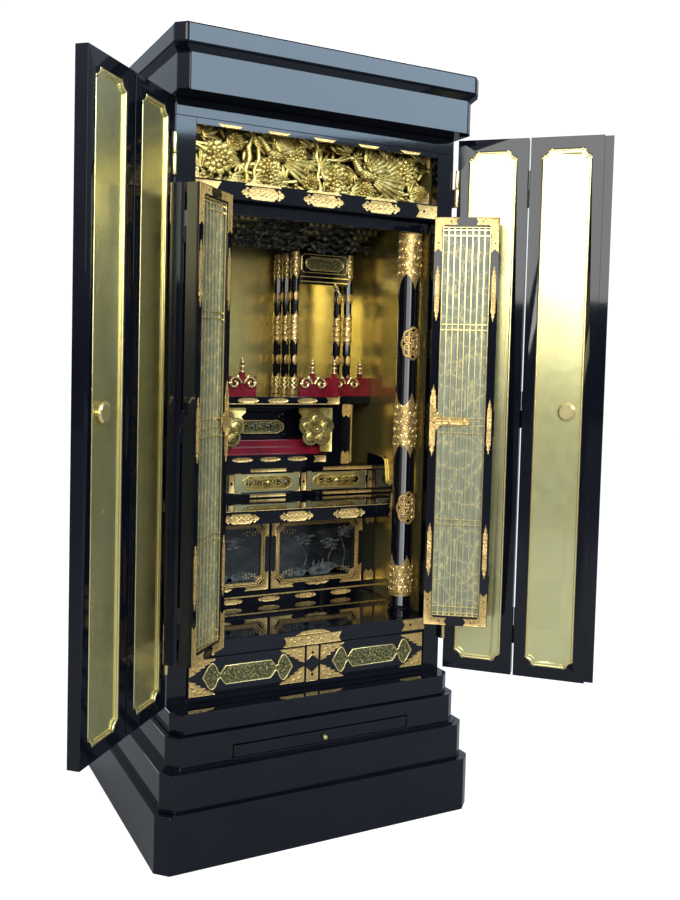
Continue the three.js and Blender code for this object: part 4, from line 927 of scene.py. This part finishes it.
for side, word in ((-1, "left"), (1, "right")):
    post, sheath = bmesh.new(), bmesh.new()
    x = side * column_x
    profile = [(0.0, 0.4423), (0.031, 0.4423), (0.031, 0.4493), (0.027, 0.4533), (0.027, 0.4623),
               (0.0258, 0.4643), (0.0258, 1.4005), (0.0, 1.4005)]
    corners = [post.verts.new((x + r, column_y, z)) for r, z in profile]
    edges = [post.edges.new(pair) for pair in zip(corners, corners[1:])]
    bmesh.ops.spin(post, geom=corners + edges, cent=(x, column_y, 0), axis=(0, 0, 1), angle=2 * pi,
                   steps=56, use_merge=True)
    put(f"round_column_{word}", post, lacquer, stands_for=[f"column_{word}"])
    for z0, z1, top_point, foot_point in ((0.4865, 0.583, 0.026, 0.004), (0.819, 0.973, 0.03, 0.03),
            (1.219, 1.369, 0.0, 0.034)):
        sleeve(sheath, x, column_y, z0, z1, column_r + 0.0004, top_point, foot_point, 96)
    bmesh.ops.solidify(sheath, geom=list(sheath.faces), thickness=-0.0009)
    curls = bmesh.new()
    for low_z, high_z, rows in ((0.5, 0.55, 4), (0.85, 0.94, 6), (1.258, 1.332, 5)):
        for j in range(9):
            for row in range(rows):
                cx = (j - 4) * 0.0182 + 0.0091 * (row % 2)
                cz = low_z + (high_z - low_z) * row / (rows - 1)
                curl = [(cx + (0.0014 + 0.0066 * (1 - i / 13)) * cos(i * 0.62 + j * 2 + row),
                         cz + (0.0016 + 0.0078 * (1 - i / 13)) * sin(i * 0.62 + j * 2 + row), 0.0017)
                        for i in range(14)]
                vine(curls, facing(0), curl, 0.0012, 5)
    wrapped(curls, set(), x, column_y, column_r)
    put(f"column_curls_{word}", curls, bright, crease=50)
    for z0, z1 in ((0.484, 0.488), (1.3655, 1.371), (1.343, 1.347)):
        bmesh.ops.create_cone(sheath, cap_ends=True, segments=40, radius1=column_r + 0.0022,
                              radius2=column_r + 0.0022, depth=z1 - z0,
                              matrix=Matrix.Translation((x, column_y, (z0 + z1) / 2)))
    for i in range(36):
        turn = 2 * pi * i / 36
        bmesh.ops.create_cone(sheath, cap_ends=True, segments=6, radius1=0.0017, radius2=0.0017,
                              depth=0.017, matrix=Matrix.Translation((x + (column_r + 0.001) * cos(turn),
                                  column_y + (column_r + 0.001) * sin(turn), 1.3562)))
    for centre_z in (0.698, 1.091):
        for turn in (0, pi):
            medallion(sheath, x, column_y, centre_z, column_r, 0.0265, 0.036, turn)
    put(f"column_sheath_{word}", sheath, gilt, crease=40)

# Cupboard under the shelf: two panels with a dark polished picture of trees and figures in a gilt border,
# gilt corner plates and leaf-shaped mounts on the frame round them.
dress("cupboard", lacquer, 0.0006)


def inlaid_picture():
    finish, tree, shader = shade("inlaid_picture", Roughness=0.16)
    tint(tree, shader, grain(tree, 16, 5, 0.6, (1, 1, 1.6)).outputs["Fac"],
         [(0.42, (0.006, 0.007, 0.008)), (0.54, (0.014, 0.017, 0.018)), (0.66, (0.032, 0.036, 0.032))])
    return finish


def pearl_inlay():
    finish, tree, shader = shade("pearl_inlay", Roughness=0.22)
    tint(tree, shader, grain(tree, 90, 4, 0.65).outputs["Fac"],
         [(0.36, (0.014, 0.018, 0.018)), (0.52, (0.06, 0.072, 0.068)), (0.66, (0.13, 0.115, 0.115))])
    return finish


cupboard_face = facing(0.035)
picture, pearl = inlaid_picture(), pearl_inlay()
for side, word in ((-1, "left"), (1, "right")):
    dress(f"cupboard_panel_{word}", lacquer, 0.0006)
    view_panel, inlay, border = bmesh.new(), bmesh.new(), bmesh.new()
    sheet_cut(view_panel, sized(notched(0.0215, 0.2402, 0.4953, 0.6355, 0.015), side, 1)[::side],
              facing(0.0389), 0.001, 0)
    put(f"picture_{word}", view_panel, picture)
    scene_face = facing(0.0378)
    for x0, wide, tall in ((0.07, 0.09, 0.022), (0.155, 0.12, 0.03), (0.2, 0.07, 0.016)):
        hill = [(side * (x0 + wide * (i / 12 - 0.5)), 0.503 + tall * sin(pi * i / 12) ** 0.7)
                for i in range(13)]
        sheet_cut(inlay, hill, scene_face, 0.0005, 0)
    for root, height, lean in ((0.085, 0.085, 0.016), (0.175, 0.07, -0.012), (0.2, 0.098, 0.01)):
        trunk = [(side * (root + lean * sin(i * 0.5)), 0.512 + height * i / 8, 0.0004) for i in range(9)]
        vine(inlay, scene_face, trunk, 0.0019, 6)
        for i in range(11):
            turn = i * 2.4
            bead(inlay, scene_face, (side * (root + lean * 0.6 + 0.0042 * i ** 0.75 * cos(turn)),
                0.512 + height + 0.0028 * i ** 0.75 * sin(turn), 0.0004), (0.0095, 0.0036, 0.0009),
                 0.3 * sin(i), 10, 5)
    for x, z in ((0.122, 0.528), (0.136, 0.525), (0.148, 0.53)):
        bead(inlay, scene_face, (side * x, z, 0.0006), (0.0036, 0.0075, 0.0012), 0, 8, 6)
        bead(inlay, scene_face, (side * x, z + 0.0105, 0.0006), (0.0022, 0.0026, 0.0012), 0, 8, 6)
    for x, z in ((0.115, 0.6), (0.14, 0.61), (0.06, 0.58)):
        for way in (-1, 1):
            bead(inlay, scene_face, (side * x + way * 0.005, z + 0.0012, 0.0004),
                 (0.006, 0.0013, 0.0008), way * 0.35)
    put(f"picture_inlay_{word}", inlay, pearl, crease=50)
    for cx, ux in ((0.03, 1), (0.2317, -1)):
        for cz, uz in ((0.5038, 1), (0.627, -1)):
            for i in range(9):
                bead(border, scene_face, (side * (cx + ux * (0.009 + 0.0075 * (i % 5))),
                    cz + uz * (0.0065 + 0.0072 * (i // 5) + 0.002 * sin(i * 2.0)), 0),
                     (0.0019, 0.0019, 0.0012))
    for grow, wide, tall in ((0.0068, 0.0026, 0.003), (0.0028, 0.0032, 0.0024), (-0.0016, 0.0014, 0.003)):
        line = sized(notched(0.0215 - grow, 0.2402 + grow, 0.4953 - grow, 0.6355 + grow, 0.015),
                     side, 1)[::side]
        rim_cut(border, line, facing(0.0352), wide, tall)
    for cx, ux in ((0.004, 1), (0.2577, -1)):
        for cz, uz in ((0.4778, 1), (0.653, -1)):
            arm = [(0, 0), (0.062, 0), (0.056, 0.005), (0.062, 0.0095), (0.026, 0.0095), (0.0215, 0.0125),
                   (0.018, 0.0175), (0.014, 0.0225), (0.0105, 0.024), (0.0105, 0.046),
                   (0.005, 0.041), (0, 0.046)]
            sheet_cut(border, sized(arm, side * ux, uz, side * cx, cz), cupboard_face, 0.0012, 0.0008)
    for z, flip in ((0.6455, 1), (0.4845, -1)):
        leafy = [(-0.034, 0), (-0.02, 0.0055), (-0.009, 0.0045), (0, 0.008), (0.009, 0.0045),
                 (0.02, 0.0055), (0.034, 0), (0.018, -0.0045), (0, -0.0015), (-0.018, -0.0045)]
        sheet_cut(border, sized(leafy, 1, flip, side * 0.131, z), cupboard_face, 0.0014, 0.0008)
    strip = [(0.2665, 0.478), (0.2945, 0.478), (0.2945, 0.496), (0.288, 0.506), (0.2805, 0.500),
             (0.273, 0.506), (0.2665, 0.496)]
    sheet_cut(border, sized(strip, side, 1), cupboard_face, 0.0012, 0.0008)
    sheet_cut(border, sized(strip, side, -1, 0, 1.131), cupboard_face, 0.0012, 0.0008)
    put(f"cupboard_gilding_{word}", border, gilt, crease=50)
cupboard_lines, cupboard_dark = bmesh.new(), bmesh.new()
sheet_cut(cupboard_lines, oblong(-0.297, 0.297, 0.462, 0.4652), cupboard_face, 0.0015, 0)
for x in (-0.2, -0.1, 0.0, 0.1, 0.2):
    oblong_plate(cupboard_lines, cupboard_dark, cupboard_face, x, 0.4535, 0.06, 0.0125)
put("cupboard_lines", cupboard_lines, gilt)
put("cupboard_pierced", cupboard_dark, lacquer)

# Polished shelf over the cupboard: a thick black board, gilt along its upper arris, with plates on its edge.
dress("polished_shelf", lacquer, 0.001)
shelf_face = facing(-0.115)
shelf_plates, shelf_dark = bmesh.new(), bmesh.new()
for x in (-0.138, 0.0, 0.138):
    oblong_plate(shelf_plates, shelf_dark, shelf_face, x, 0.6825, 0.088, 0.0225)
sheet_cut(shelf_plates, oblong(-0.297, 0.297, 0.6993, 0.7008), shelf_face, 0.0007, 0)
for sx in (-1, 1):
    ribbon_plate(shelf_plates, shelf_dark, sx * 0.297, 0.6835, 0.05, 0.024, shelf_face, sx)
put("shelf_plates", shelf_plates, gilt)
put("shelf_pierced", shelf_dark, lacquer)

# Low unit on the shelf: three carved and gilded panels between uprights, in a lacquered frame
# trimmed with gilt strips. Each upright has a black diamond on a gilt plate.
dress("lower_unit", lacquer, 0.0005)
unit_face = facing(0.056)
unit_gilding, unit_carving, unit_ground = bmesh.new(), bmesh.new(), bmesh.new()
for z0, z1 in ((0.7045, 0.7115), (0.7665, 0.7745)):
    for x0, x1 in ((-0.296, -0.152), (-0.048, 0.048), (0.152, 0.296)):
        sheet_cut(unit_gilding, oblong(x0, x1, z0, z1), unit_face, 0.0012, 0.0008)
unit_dark = bmesh.new()
for x in (-0.097, 0.097, -0.2895, 0.2895):
    sheet_cut(unit_gilding, oblong(x - 0.0068, x + 0.0068, 0.7165, 0.7615), unit_face, 0.0012, 0.0007)
    sheet_cut(unit_dark, [(x - 0.0036, 0.739), (x, 0.7338), (x + 0.0036, 0.739), (x, 0.7442)],
              facing(0.0552), 0.0008, 0)
put("unit_diamonds", unit_dark, lacquer)


def oblong_relief(shape, rims, place, x, z, half_long, half_high, seed):
    """A long carved panel of waves and leaves inside a raised rim with stepped ends."""
    outline = four_ways([(0, 0.5), (0.38, 0.5), (0.41, 0.37), (0.46, 0.34), (0.5, 0.14), (0.5, 0.0)])
    rim_cut(rims, sized(outline, 2 * half_long, 2 * half_high, x, z), place, 0.0018, 0.0026)
    sheet_cut(shape, sized(outline, 2 * half_long - 0.002, 2 * half_high - 0.002, x, z), place, 0.001, 0)
    for i in range(15):
        share = (i + 0.5) / 15 - 0.5
        for j in range(3):
            bead(shape, place, (x + share * 1.66 * half_long,
                                z + half_high * (0.42 * (j - 1) + 0.1 * sin(i * 2 + seed + j)), 0.0016),
                 (half_long * 0.062, half_high * 0.17, 0.0028), 1.1 * sin(i * 1.7 + seed + 2 * j))
    bead(shape, place, (x, z, 0.003), (half_high * 0.36, half_high * 0.36, 0.0036), 0, 10, 6)


for number, x in enumerate((-0.192, 0.0, 0.192)):
    oblong_relief(unit_carving, unit_gilding, facing(0.0595), x, 0.739, 0.0665, 0.0178, number * 1.3)
    sheet_cut(unit_ground, oblong(x - 0.0865, x + 0.0865, 0.7165, 0.7615), facing(0.0597), 0.0004, 0)
    for sx in (-1, 1):
        for sz in (-1, 1):
            corner = [(0, 0), (0.021, 0), (0.016, 0.004), (0.009, 0.0055), (0.0065, 0.01), (0, 0.0145)]
            sheet_cut(unit_gilding, [(x + sx * (0.0895 - u), 0.739 + sz * (0.0245 - v)) for u, v in corner],
                      facing(0.0625), 0.0012, 0.0006)
put("unit_gilding", unit_gilding, gilt, crease=50)
put("unit_ground", unit_ground, door_leaf)
put("unit_carving", unit_carving, carving_gold)
step_boards, step_edges = bmesh.new(), bmesh.new()
for side in (-1, 1):
    steps = [(-0.0475, 0.739), (-0.0235, 0.741), (-0.0205, 0.7455), (-0.0135, 0.79), (-0.011, 0.798),
             (0.0, 0.805), (0.0815, 0.807)]
    wall = Matrix(((0, 0, -side, side * 0.2972), (1, 0, 0, 0), (0, 1, 0, 0), (0, 0, 0, 1)))
    sheet_cut(step_boards, [(-0.0475, 0.7018)] + steps + [(0.0815, 0.7768), (0.0555, 0.7768),
        (0.0555, 0.7018)], wall, 0.003, 0)
    sheet_cut(step_edges, steps + [(y + 0.003, z - 0.0032) for y,
        z in reversed(steps[1:-1])] + [(-0.0445, 0.7358)], wall, 0.0038, 0)
put("side_step_boards", step_boards, lacquer)
put("side_step_edges", step_edges, bright)

# Altar: a red stepped base edged in gilt plates, a black waist with a dark gilded carving, and a coved top.
# Five-lobed flower brackets in gold flank the waist.
def dark_red():
    finish, tree, shader = shade("dark_red", Roughness=0.16)
    tint(tree, shader, grain(tree, 18, 5).outputs["Fac"],
         [(0.3, (0.11, 0.004, 0.010)), (0.7, (0.20, 0.008, 0.018))])
    relief(tree, shader, grain(tree, 150, 2).outputs["Fac"], 0.05, 0.0004)
    return finish


red = dark_red()
dress("altar_base", red, 0.0008)
dress("altar_waist", lacquer, 0.0006)
dress("altar_top", lacquer, 0.0008)
base_face = facing(0.0461)
top_face = facing(0.005)
altar_plates, altar_carving, base_band = bmesh.new(), bmesh.new(), bmesh.new()
sheet_cut(base_band, oblong(-0.1532, 0.1532, 0.777, 0.8095), facing(0.0468), 0.0006, 0)
put("altar_base_band", base_band, lacquer)
for x in (-0.074, 0.0, 0.074):
    sheet_cut(altar_plates, sized(four_ways(cloud_quarter), 0.056, 0.011, x, 0.7985), base_face,
              0.0012, 0.0006)
for x in (-0.078, 0.0, 0.078):
    sheet_cut(altar_plates, sized(four_ways(cloud_quarter), 0.056, 0.0125, x, 0.9455), top_face,
              0.0012, 0.0006)
for sx in (-1, 1):
    sheet_cut(altar_plates, sized(tail_outline, -sx * 0.034, 0.016, sx * 0.1532, 0.797), base_face,
              0.0012, 0.0006)
    sheet_cut(altar_plates, sized(tail_outline, -sx * 0.036, 0.0165, sx * 0.166, 0.9455), top_face,
              0.0012, 0.0006)
    sheet_cut(altar_plates, sized(tail_outline, sx * 0.04, 0.0165, sx * 0.168, 0.9455), facing(0.08),
              0.0012, 0.0006)
sheet_cut(altar_plates, oblong(-0.166, 0.166, 0.9365, 0.9385), top_face, 0.001, 0)
oblong_relief(altar_carving, altar_plates, facing(0.1085), 0, 0.8745, 0.062, 0.017, 0.7)
put("altar_plates", altar_plates, gilt, crease=50)
put("altar_carving", altar_carving, dark_carving)
for side, word in ((-1, "left"), (1, "right")):
    bloom, lines = bmesh.new(), bmesh.new()
    ground = facing(0.043)
    x, z = side * 0.121, 0.8727
    outline = [(0.071, 0.926), (0.071, 0.915), (0.082, 0.905), (0.0745, 0.895), (0.1, 0.85), (0.132, 0.836),
               (0.134, 0.8155), (0.165, 0.8155), (0.165, 0.926)]
    sheet_cut(bloom, sized(outline, side, 1), ground, 0.005, 0.0018, 0.001)
    for reach, thick, work in ((1.0, 0.0016, lines), (0.93, 0.0017, bloom), (0.86, 0.0012, lines)):
        rim = []
        for i in range(101):
            turn = pi / 2 + 2 * pi * i / 100
            far = 0.034 + 0.0145 * abs(cos(2.5 * (turn - pi / 2))) ** 0.6
            rim.append((x + reach * far * cos(turn), z + reach * far * 0.92 * sin(turn), 0.0055))
        vine(work, ground, rim, thick)
    for i in range(5):
        turn = pi / 2 + 2 * pi * i / 5
        cx, cz = x + cos(turn) * 0.026, z + sin(turn) * 0.024
        bead(bloom, ground, (cx, cz, 0.004), (0.0145, 0.0135, 0.0036), turn, 20, 8)
        for k in range(7):
            spread = turn + (k - 3) * 0.3
            bead(lines, ground, (cx + cos(spread) * 0.0065, cz + sin(spread) * 0.006, 0.0072),
                 (0.006, 0.0008, 0.0008), spread)
        between = turn + pi / 5
        bead(bloom, ground, (x + cos(between) * 0.025, z + sin(between) * 0.023, 0.0052),
             (0.0085, 0.0026, 0.0024), between, 8, 6)
    for reach, work in ((0.0125, lines), (0.0145, bloom)):
        vine(work, ground, circle(x, z, reach, reach * 0.94, 0.0085, 24), 0.0014)
    for i in range(14):
        turn = 2 * pi * i / 14
        bead(bloom, ground, (x + cos(turn) * 0.0085, z + sin(turn) * 0.008, 0.0098),
             (0.003, 0.0012, 0.0016), turn, 6, 4)
    bead(bloom, ground, (x, z, 0.01), (0.0048, 0.0046, 0.0036), 0, 12, 8)
    put(f"flower_lines_{word}", lines, dark_carving, crease=45)
    put(f"flower_{word}", bloom, carving_gold,
        stands_for=[f"flower_bracket_{word}"], crease=45)

# Wings of the altar: black frames with gilt swallow-tailed plates and a gilt curved edge.
wing_edge = 0.2435
for side, word in ((-1, "left"), (1, "right")):
    dress(f"altar_wing_{word}", lacquer, 0.0006)
    wing = bmesh.new()
    for z, sz in ((0.9335, -1), (0.7785, 1)):
        tail = [(-0.012, 0), (-0.012, 0.026), (-0.0075, 0.034), (0, 0.027), (0.0075, 0.034),
                (0.012, 0.026), (0.012, 0)]
        sheet_cut(wing, sized(tail, 1, sz, side * 0.2275, z), facing(0.082), 0.0012, 0.0007)
    edge = [(side * wing_edge, 0.782 + 0.0125 * i, 0) for i in range(13)]
    vine(wing, facing(0.0825), edge, 0.0024)
    for z in (0.789, 0.797, 0.927):
        bead(wing, facing(0.0825), (side * wing_edge, z, 0.001), (0.0038, 0.003, 0.003), 0, 10, 6)
    put(f"wing_gilding_{word}", wing, gilt)

# Railings: vermilion posts and boards round the altar's top, with gilt scrolls and pointed finials.
for side, word in ((-1, "left"), (1, "right")):
    for node, name, y, x0, x1, posts in (("altar_railing", "altar_scrolls", 0.006, 0.0577, 0.165,
            (0.0929, 0.1536)), ("wing_railing", "wing_scrolls", 0.081, 0.174, 0.2967, (0.2668,))):
        dress(f"{node}_{word}", red, 0.0006)
        scroll = bmesh.new()
        for x in posts:
            body_line = ((0.0082, 1.0145, 0.0045), (0.0058, 1.0205, 0.003), (0.0086, 1.0265, 0.0052),
                         (0.004, 1.0325, 0.0024), (0.0062, 1.0375, 0.0052), (0.0026, 1.0445, 0.0048))
            for wide, z, tall in body_line:
                bead(scroll, Matrix.Identity(4), (side * x, y + 0.0055, z), (wide, wide, tall), 0, 12, 8)
        middle = (x0 + posts[0]) / 2 if name == "altar_scrolls" else 0.225
        for way in (-1, 1):
            line = []
            for i in range(26):
                turn = i / 25 * 2.6 * pi
                radius = 0.003 + 0.0135 * (1 - i / 25)
                line.append((side * (middle + (0.018 if name == "altar_scrolls" else 0.0))
                             + way * (0.0205 - radius * cos(turn)), 0.987 + radius * sin(turn), 0.0035))
            vine(scroll, facing(y + 0.002), line, 0.0031, 8)
            for i in range(3):
                bead(scroll, facing(y + 0.002), (line[7 * i + 3][0], line[7 * i + 3][1] + 0.002, 0.0055),
                     (0.0062, 0.0032, 0.0022), way * (0.9 - i))
        put(f"{name}_{word}", scroll, bright, crease=45)

# Shrine: slender black columns in gilt sleeves carry a beam with carved panels between the groups,
# under a roof of stacked brackets whose ends are touched with gold.
def dark_brackets_painted_highlights():
    finish, tree, shader = shade("dark_brackets_painted_highlights", Metallic=0.15, Roughness=0.42)
    cloud = grain(tree, 95, 5)
    # The brackets are dark grey; the pale top stop, on the raised parts of the same grain as the bump, is a
    # painted highlight.
    tint(tree, shader, cloud.outputs["Fac"], [(0.4, (0.010, 0.011, 0.012)), (0.54, (0.05, 0.05, 0.046)),
        (0.66, (0.3, 0.27, 0.17))])
    relief(tree, shader, cloud.outputs["Fac"], 0.6, 0.002)
    return finish


bracket_grey_painted_highlights = dark_brackets_painted_highlights()
dress("shrine_roof", bracket_grey_painted_highlights, 0.0006)
for side, word in ((-1, "left"), (1, "right")):
    dress(f"shrine_frame_{word}", lacquer, 0.0005)
    sheaths, curls = bmesh.new(), bmesh.new()
    for x, ys in ((0.098, (0.137, 0.19, 0.243)), (0.253, (0.137, 0.197))):
        for y in ys:
            for z0, z1, top_point, foot_point in ((0.9555, 1.011, 0.012, 0.0), (1.084, 1.173, 0.014, 0.014),
                    (1.251, 1.3235, 0.0, 0.014)):
                sleeve(sheaths, side * x, y, z0, z1, 0.0115, top_point, foot_point, 40)
                for j in range(5):
                    for row in range(5):
                        turn, up = j * 1.257 + 0.63 * (row % 2), z0 + 0.016 + (z1 - z0 - 0.032) * row / 4
                        bead(curls, Matrix.Translation((side * x, y, up)) @ Matrix.Rotation(turn, 4, "Z"),
                             (0, -0.0117, 0), (0.0042, 0.0012, 0.0062))
            for z in (1.046, 1.21):
                for turn in range(4):
                    bead(sheaths, Matrix.Translation((side * x, y, z)) @ Matrix.Rotation(turn * pi / 2, 4,
                        "Z"), (0, -0.0108, 0), (0.0072, 0.002, 0.0135), 0, 10, 6)
    put(f"shrine_curls_{word}", curls, bright, crease=50)
    put(f"shrine_sheaths_{word}", sheaths, gilt, crease=45)
    screen, screen_rims = bmesh.new(), bmesh.new()
    panel = facing(0.126)
    rim_cut(screen_rims, sized(notched(0.1085, 0.2425, 1.2705, 1.3195, 0.006), side, 1)[::side], panel,
            0.0024, 0.0028)
    oblong_relief(screen, screen_rims, panel, side * 0.1755, 1.295, 0.055, 0.0175, 0.4)
    for z, y in ((1.2605, 0.123), (1.2485, 0.125)):
        sheet_cut(screen_rims, oblong(side * 0.1065, side * 0.2445, z - 0.0012, z + 0.0012),
                  facing(y), 0.0012, 0)
    put(f"shrine_screen_{word}", screen, dark_carving, crease=45)
    put(f"shrine_rims_{word}", screen_rims, bright, crease=50)
tips = bmesh.new()
for i in range(48):
    x = -0.282 + 0.012 * i
    y, z = (-0.022, 1.3935) if abs(x) < 0.138 else (0.03, 1.3905)
    bead(tips, facing(y), (x, z, 0), (0.0034, 0.0034, 0.0014))
for x in (-0.253, -0.098, 0.098, 0.253):
    fronts = (0.095, 0.0462, -0.0025) if abs(x) < 0.2 else (0.1054, 0.074, 0.0426)
    for row in range(3):
        spread = (0.0148, 0.0238, 0.0328)[row]
        for i in range(2 + row):
            u = x - spread + 2 * spread * (i + 0.5) / (2 + row)
            bead(tips, facing(fronts[row]), (u, 1.3545 + row * 0.011, 0), (0.0048, 0.0036, 0.0014))
            bead(tips, facing(fronts[row]), (u, 1.3495 + row * 0.011, 0), (0.0075, 0.0011, 0.001), 0, 8, 4)
clouds = bmesh.new()
for x in (-0.253, -0.098, 0.098, 0.253):
    near = 0.0905 if abs(x) < 0.2 else 0.1
    for j in range(7):
        turn = 1.1 * sin(j * 1.7 + x * 20)
        bead(clouds, facing(near), (x + 0.0105 * (j - 3), 1.3375 + 0.0035 * cos(j * 1.4), 0.004),
             (0.0105, 0.0048, 0.006), turn, 10, 6)
    for way in (-1, 1):
        curl = [(x + way * (0.036 + (0.003 + 0.011 * (1 - i / 17)) * cos(i * 0.5)),
                 1.334 + (0.003 + 0.011 * (1 - i / 17)) * sin(i * 0.5), 0.006) for i in range(18)]
        vine(clouds, facing(near), curl, 0.0026, 8)
for row, (z, y) in enumerate(((1.331, 0.119), (1.344, 0.098), (1.357, 0.07), (1.37, 0.036))):
    for i in range(17):
        x, turn = -0.086 + 0.0108 * i, 0.9 * sin(i * 2.1 + row)
        bead(clouds, facing(y), (x, z + 0.003 * sin(i * 1.3 + row * 2), 0.003),
             (0.0115, 0.0058, 0.0075), turn, 10, 6)
        bead(clouds, facing(y), (x + 0.004, z - 0.004, 0.0085), (0.0052, 0.003, 0.004), -turn)
    for side in (-1, 1):
        for i in range(9):
            x, turn = side * (0.134 + 0.0108 * i), 0.9 * sin(i * 1.9 + row)
            bead(clouds, facing(y + 0.008), (x, z + 0.003 * sin(i * 1.7 + row), 0.003),
                 (0.0115, 0.0058, 0.0075), turn, 10, 6)
# The cloud carving shares the bracket finish, with painted highlights on its raised grain.
put("roof_clouds", clouds, bracket_grey_painted_highlights, crease=45)
put("roof_tips", tips, carving_gold, crease=45)
chain = bmesh.new()
for i in range(7):
    link = circle(0.206 + 0.0035 * i, 1.244 - 0.0062 * i, 0.0022 if i % 2 else 0.0011, 0.0042, 0, 8)
    vine(chain, facing(0.118), link, 0.0006, 5)
hook = [(0.206 + 0.0065 * sin(i * 0.5), 1.2355 + 0.0065 * cos(i * 0.5), 0.001) for i in range(14)]
vine(chain, facing(0.118), hook, 0.0011, 6)
put("lamp_chain", chain, bright, crease=45)
